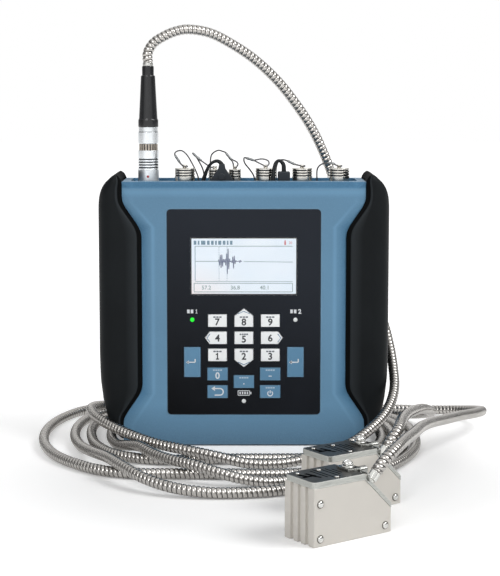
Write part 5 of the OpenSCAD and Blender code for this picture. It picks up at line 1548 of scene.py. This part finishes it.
class FLOWMETER_OT_transducers(bpy.types.Operator):
    """Finish the two transducers with their covers, clamps and screws"""
    bl_idname = "flow_meter.transducers"
    bl_label = "Transducers"

    def execute(self, context):
        for which, corner in PLACES.items():
            home = Matrix.Translation(corner) @ Matrix.Rotation(HEADING, 4, "Z")
            dress(f"{which}_transducer_body", "block_skin", 0.7, 3)
            for make, body, slot, nodes in (
                    (self.cover, "root", "cover_steel", (f"{which}_transducer_cover",)),
                    (self.marks, "root", "cover_steel", ()),
                    (self.clamp, "root", "clamp_steel", (f"{which}_clamp",)),
                    (self.screw, f"{which}_clamp_screw", "screw_chrome", (f"{which}_clamp_screw",)),
                    (self.rivets, "root", "screw_chrome", ("transducer_rivets",))):
                piece = make(which)
                piece.data.transform(home)
                put(piece, body, slot, *nodes)
        dress("conduit_fittings", "fitting_steel", 0.3)
        dress("conduit_splitter", "splitter_skin", 1.0)
        return {"FINISHED"}

    def cover(self, which):
        """Steel cover bent over the flat top and the slope, with round corners at its flat end."""
        corner = COVER_CORNER
        stations = [corner * (1 - wave(15 * k)[0]) for k in range(7)] + [20, FLAT_TOP - 0.54, FLAT_TOP, 52, BLOCK_L]
        fall = (BLOCK_H - LOW_END) / (BLOCK_L - FLAT_TOP)
        rings = []
        for x in stations:
            inset = corner - math.sqrt(max(0.0, corner ** 2 - (corner - min(x, corner)) ** 2))
            under = BLOCK_H - fall * max(0.0, x - FLAT_TOP)
            over = min(COVER_TOP, LOW_END + SLOPE_RISE + fall * (BLOCK_L - x))
            far = BLOCK_W - inset
            rings.append([mm(x, inset, under), mm(x, far, under), mm(x, far, over), mm(x, inset, over)])
        return round_edges(loft(f"{which}_cover_plate", rings, "cover_steel"), 0.35, angle=30.0)

    def marks(self, which):
        """Dark lines and a plain arrow on the cover's flat top."""
        pieces = [printed("mark", [ribbon(*line) for line in lines], 0.0, "mark_dark")
                  for lines in (COVER_LINES, COVER_ARROW)]
        piece = joined(f"{which}_cover_marks", pieces)
        piece.data.transform(Matrix.Translation(mm(0, 0, COVER_TOP)) @ Matrix.Rotation(-math.pi / 2, 4, "X"))
        return piece

    def clamp(self, which):
        """Clip on the cover: its plate, the rolled end and the wire hook over the front edge."""
        (x0, y0, z0), (x1, y1, z1), r = CLIP_LOW, CLIP_HIGH, CLIP_R
        corners = []
        for x, y, turn in ((x0 + r, y0 + r, 180), (x1 - r, y0 + r, 270), (x1 - r, y1 - r, 0), (x0 + r, y1 - r, 90)):
            corners += [(x + r * wave(turn + 30 * k)[0], y + r * wave(turn + 30 * k)[1]) for k in range(4)]
        pieces = [loft("clip_plate", [[mm(x, y, z) for x, y in corners] for z in (z0, z1)], "clamp_steel"),
                  turned("clip_roll", CLIP_ROLL, mm(44, 11.75, 39.8), "clamp_steel", ASIDE, 32),
                  wire_tube("clip_hook", CLIP_HOOK, HOOK_D, "clamp_steel", 10)]
        return round_edges(joined(f"{which}_clip", pieces), 0.25, angle=40.0)

    def screw(self, which):
        """Slotted screw with a domed head on a washer."""
        centre = mm(38.5, 15, 42.4)
        head = [(3.3, 0.5), (3.3, 0.95), (2.9, 1.2), (3.45, 1.5), (3.45, 2.3), *domed(3.45, 2.0, 2.3, 20, 40, 60, 78)]
        dome = turned("screw_head", head, centre, "screw_chrome")
        # The slot cutter's dark colour is painted shade inside the slot
        cut(dome, turned("slot_cutter", band(0.7, -4, 4), centre + mm(0, 0, 4.2), "slot_dark", ASIDE, 4))
        washer = turned("screw_washer", [(4.2, 0.0), (4.2, 0.5), (3.9, 0.85), (3.4, 0.95)], centre, "screw_chrome")
        return round_edges(joined(f"{which}_clamp_screw_domed", [dome, washer]), 0.12, angle=40.0)

    def rivets(self, which):
        """Domed rivets in both sides, each in a rim darkened as painted shade, and the cover's small screws."""
        far = BLOCK_L - RIVET_INSET
        studs = [(mm(x, y, z), out, RIVET_R, RIVET_RISE)
                 for x, z in ((RIVET_INSET, RIVET_INSET), (RIVET_INSET, BLOCK_H - 2 * RIVET_INSET), (far, RIVET_INSET))
                 for y, out in ((0, FRONT), (BLOCK_W, -FRONT))]
        studs += [(mm(x, y, COVER_TOP), UP, COVER_SCREW_R, COVER_SCREW_RISE) for x, y in COVER_SCREWS]
        return joined(f"{which}_rivets", [part for stud in studs for part in self.stud(*stud)])

    def stud(self, centre, axis, radius, height):
        # The rim round each dome gets painted shade
        rim = [(radius, -0.2), (radius, 0.18), (radius * 0.96, 0.26), (radius * 0.84, 0.22)]
        inner = radius * 0.82
        rows = [(inner, 0.0), (inner, height * 0.3), *domed(inner, height * 0.7, height * 0.3, 18, 36, 54, 70, 82)]
        return [turned(name, outline, centre, look, axis, 28)
                for name, outline, look in (("rim", rim, "rim_dark"), ("dome", rows, "screw_chrome"))]


# Panel in the sidebar, registration and the run

OPERATORS = (
    FLOWMETER_OT_stage, FLOWMETER_OT_conduits, FLOWMETER_OT_shells, FLOWMETER_OT_inside, FLOWMETER_OT_panel,
    FLOWMETER_OT_keys, FLOWMETER_OT_connectors, FLOWMETER_OT_plug, FLOWMETER_OT_transducers,
)


class FLOWMETER_PT_sidebar(bpy.types.Panel):
    """Lists the steps that dress the flow meter"""
    bl_idname = "FLOWMETER_PT_sidebar"
    bl_label = "Flow meter"
    bl_space_type = "VIEW_3D"
    bl_region_type = "UI"
    bl_category = "Flow meter"

    def draw(self, context):
        layout = self.layout
        for group in (context.scene.flow_meter_sizes, context.scene.flow_meter_colours):
            box = layout.box()
            for name in group.bl_rna.properties.keys():
                if name not in ("rna_type", "name"):
                    box.prop(group, name)
        for operator in OPERATORS:
            layout.operator(operator.bl_idname)


CLASSES = (FlowMeterSizes, FlowMeterColours, *OPERATORS, FLOWMETER_PT_sidebar)


def register():
    for kind in CLASSES:
        bpy.utils.register_class(kind)
    bpy.types.Scene.flow_meter_sizes = bpy.props.PointerProperty(type=FlowMeterSizes)
    bpy.types.Scene.flow_meter_colours = bpy.props.PointerProperty(type=FlowMeterColours)


def unregister():
    del bpy.types.Scene.flow_meter_colours
    del bpy.types.Scene.flow_meter_sizes
    for kind in reversed(CLASSES):
        bpy.utils.unregister_class(kind)


def main():
    register()
    bpy.ops.flow_meter.stage()
    bpy.ops.flow_meter.conduits()
    bpy.ops.flow_meter.shells()
    bpy.ops.flow_meter.inside()
    bpy.ops.flow_meter.panel()
    bpy.ops.flow_meter.keys()
    bpy.ops.flow_meter.connectors()
    bpy.ops.flow_meter.plug()
    bpy.ops.flow_meter.transducers()


if __name__ == "__main__":
    main()
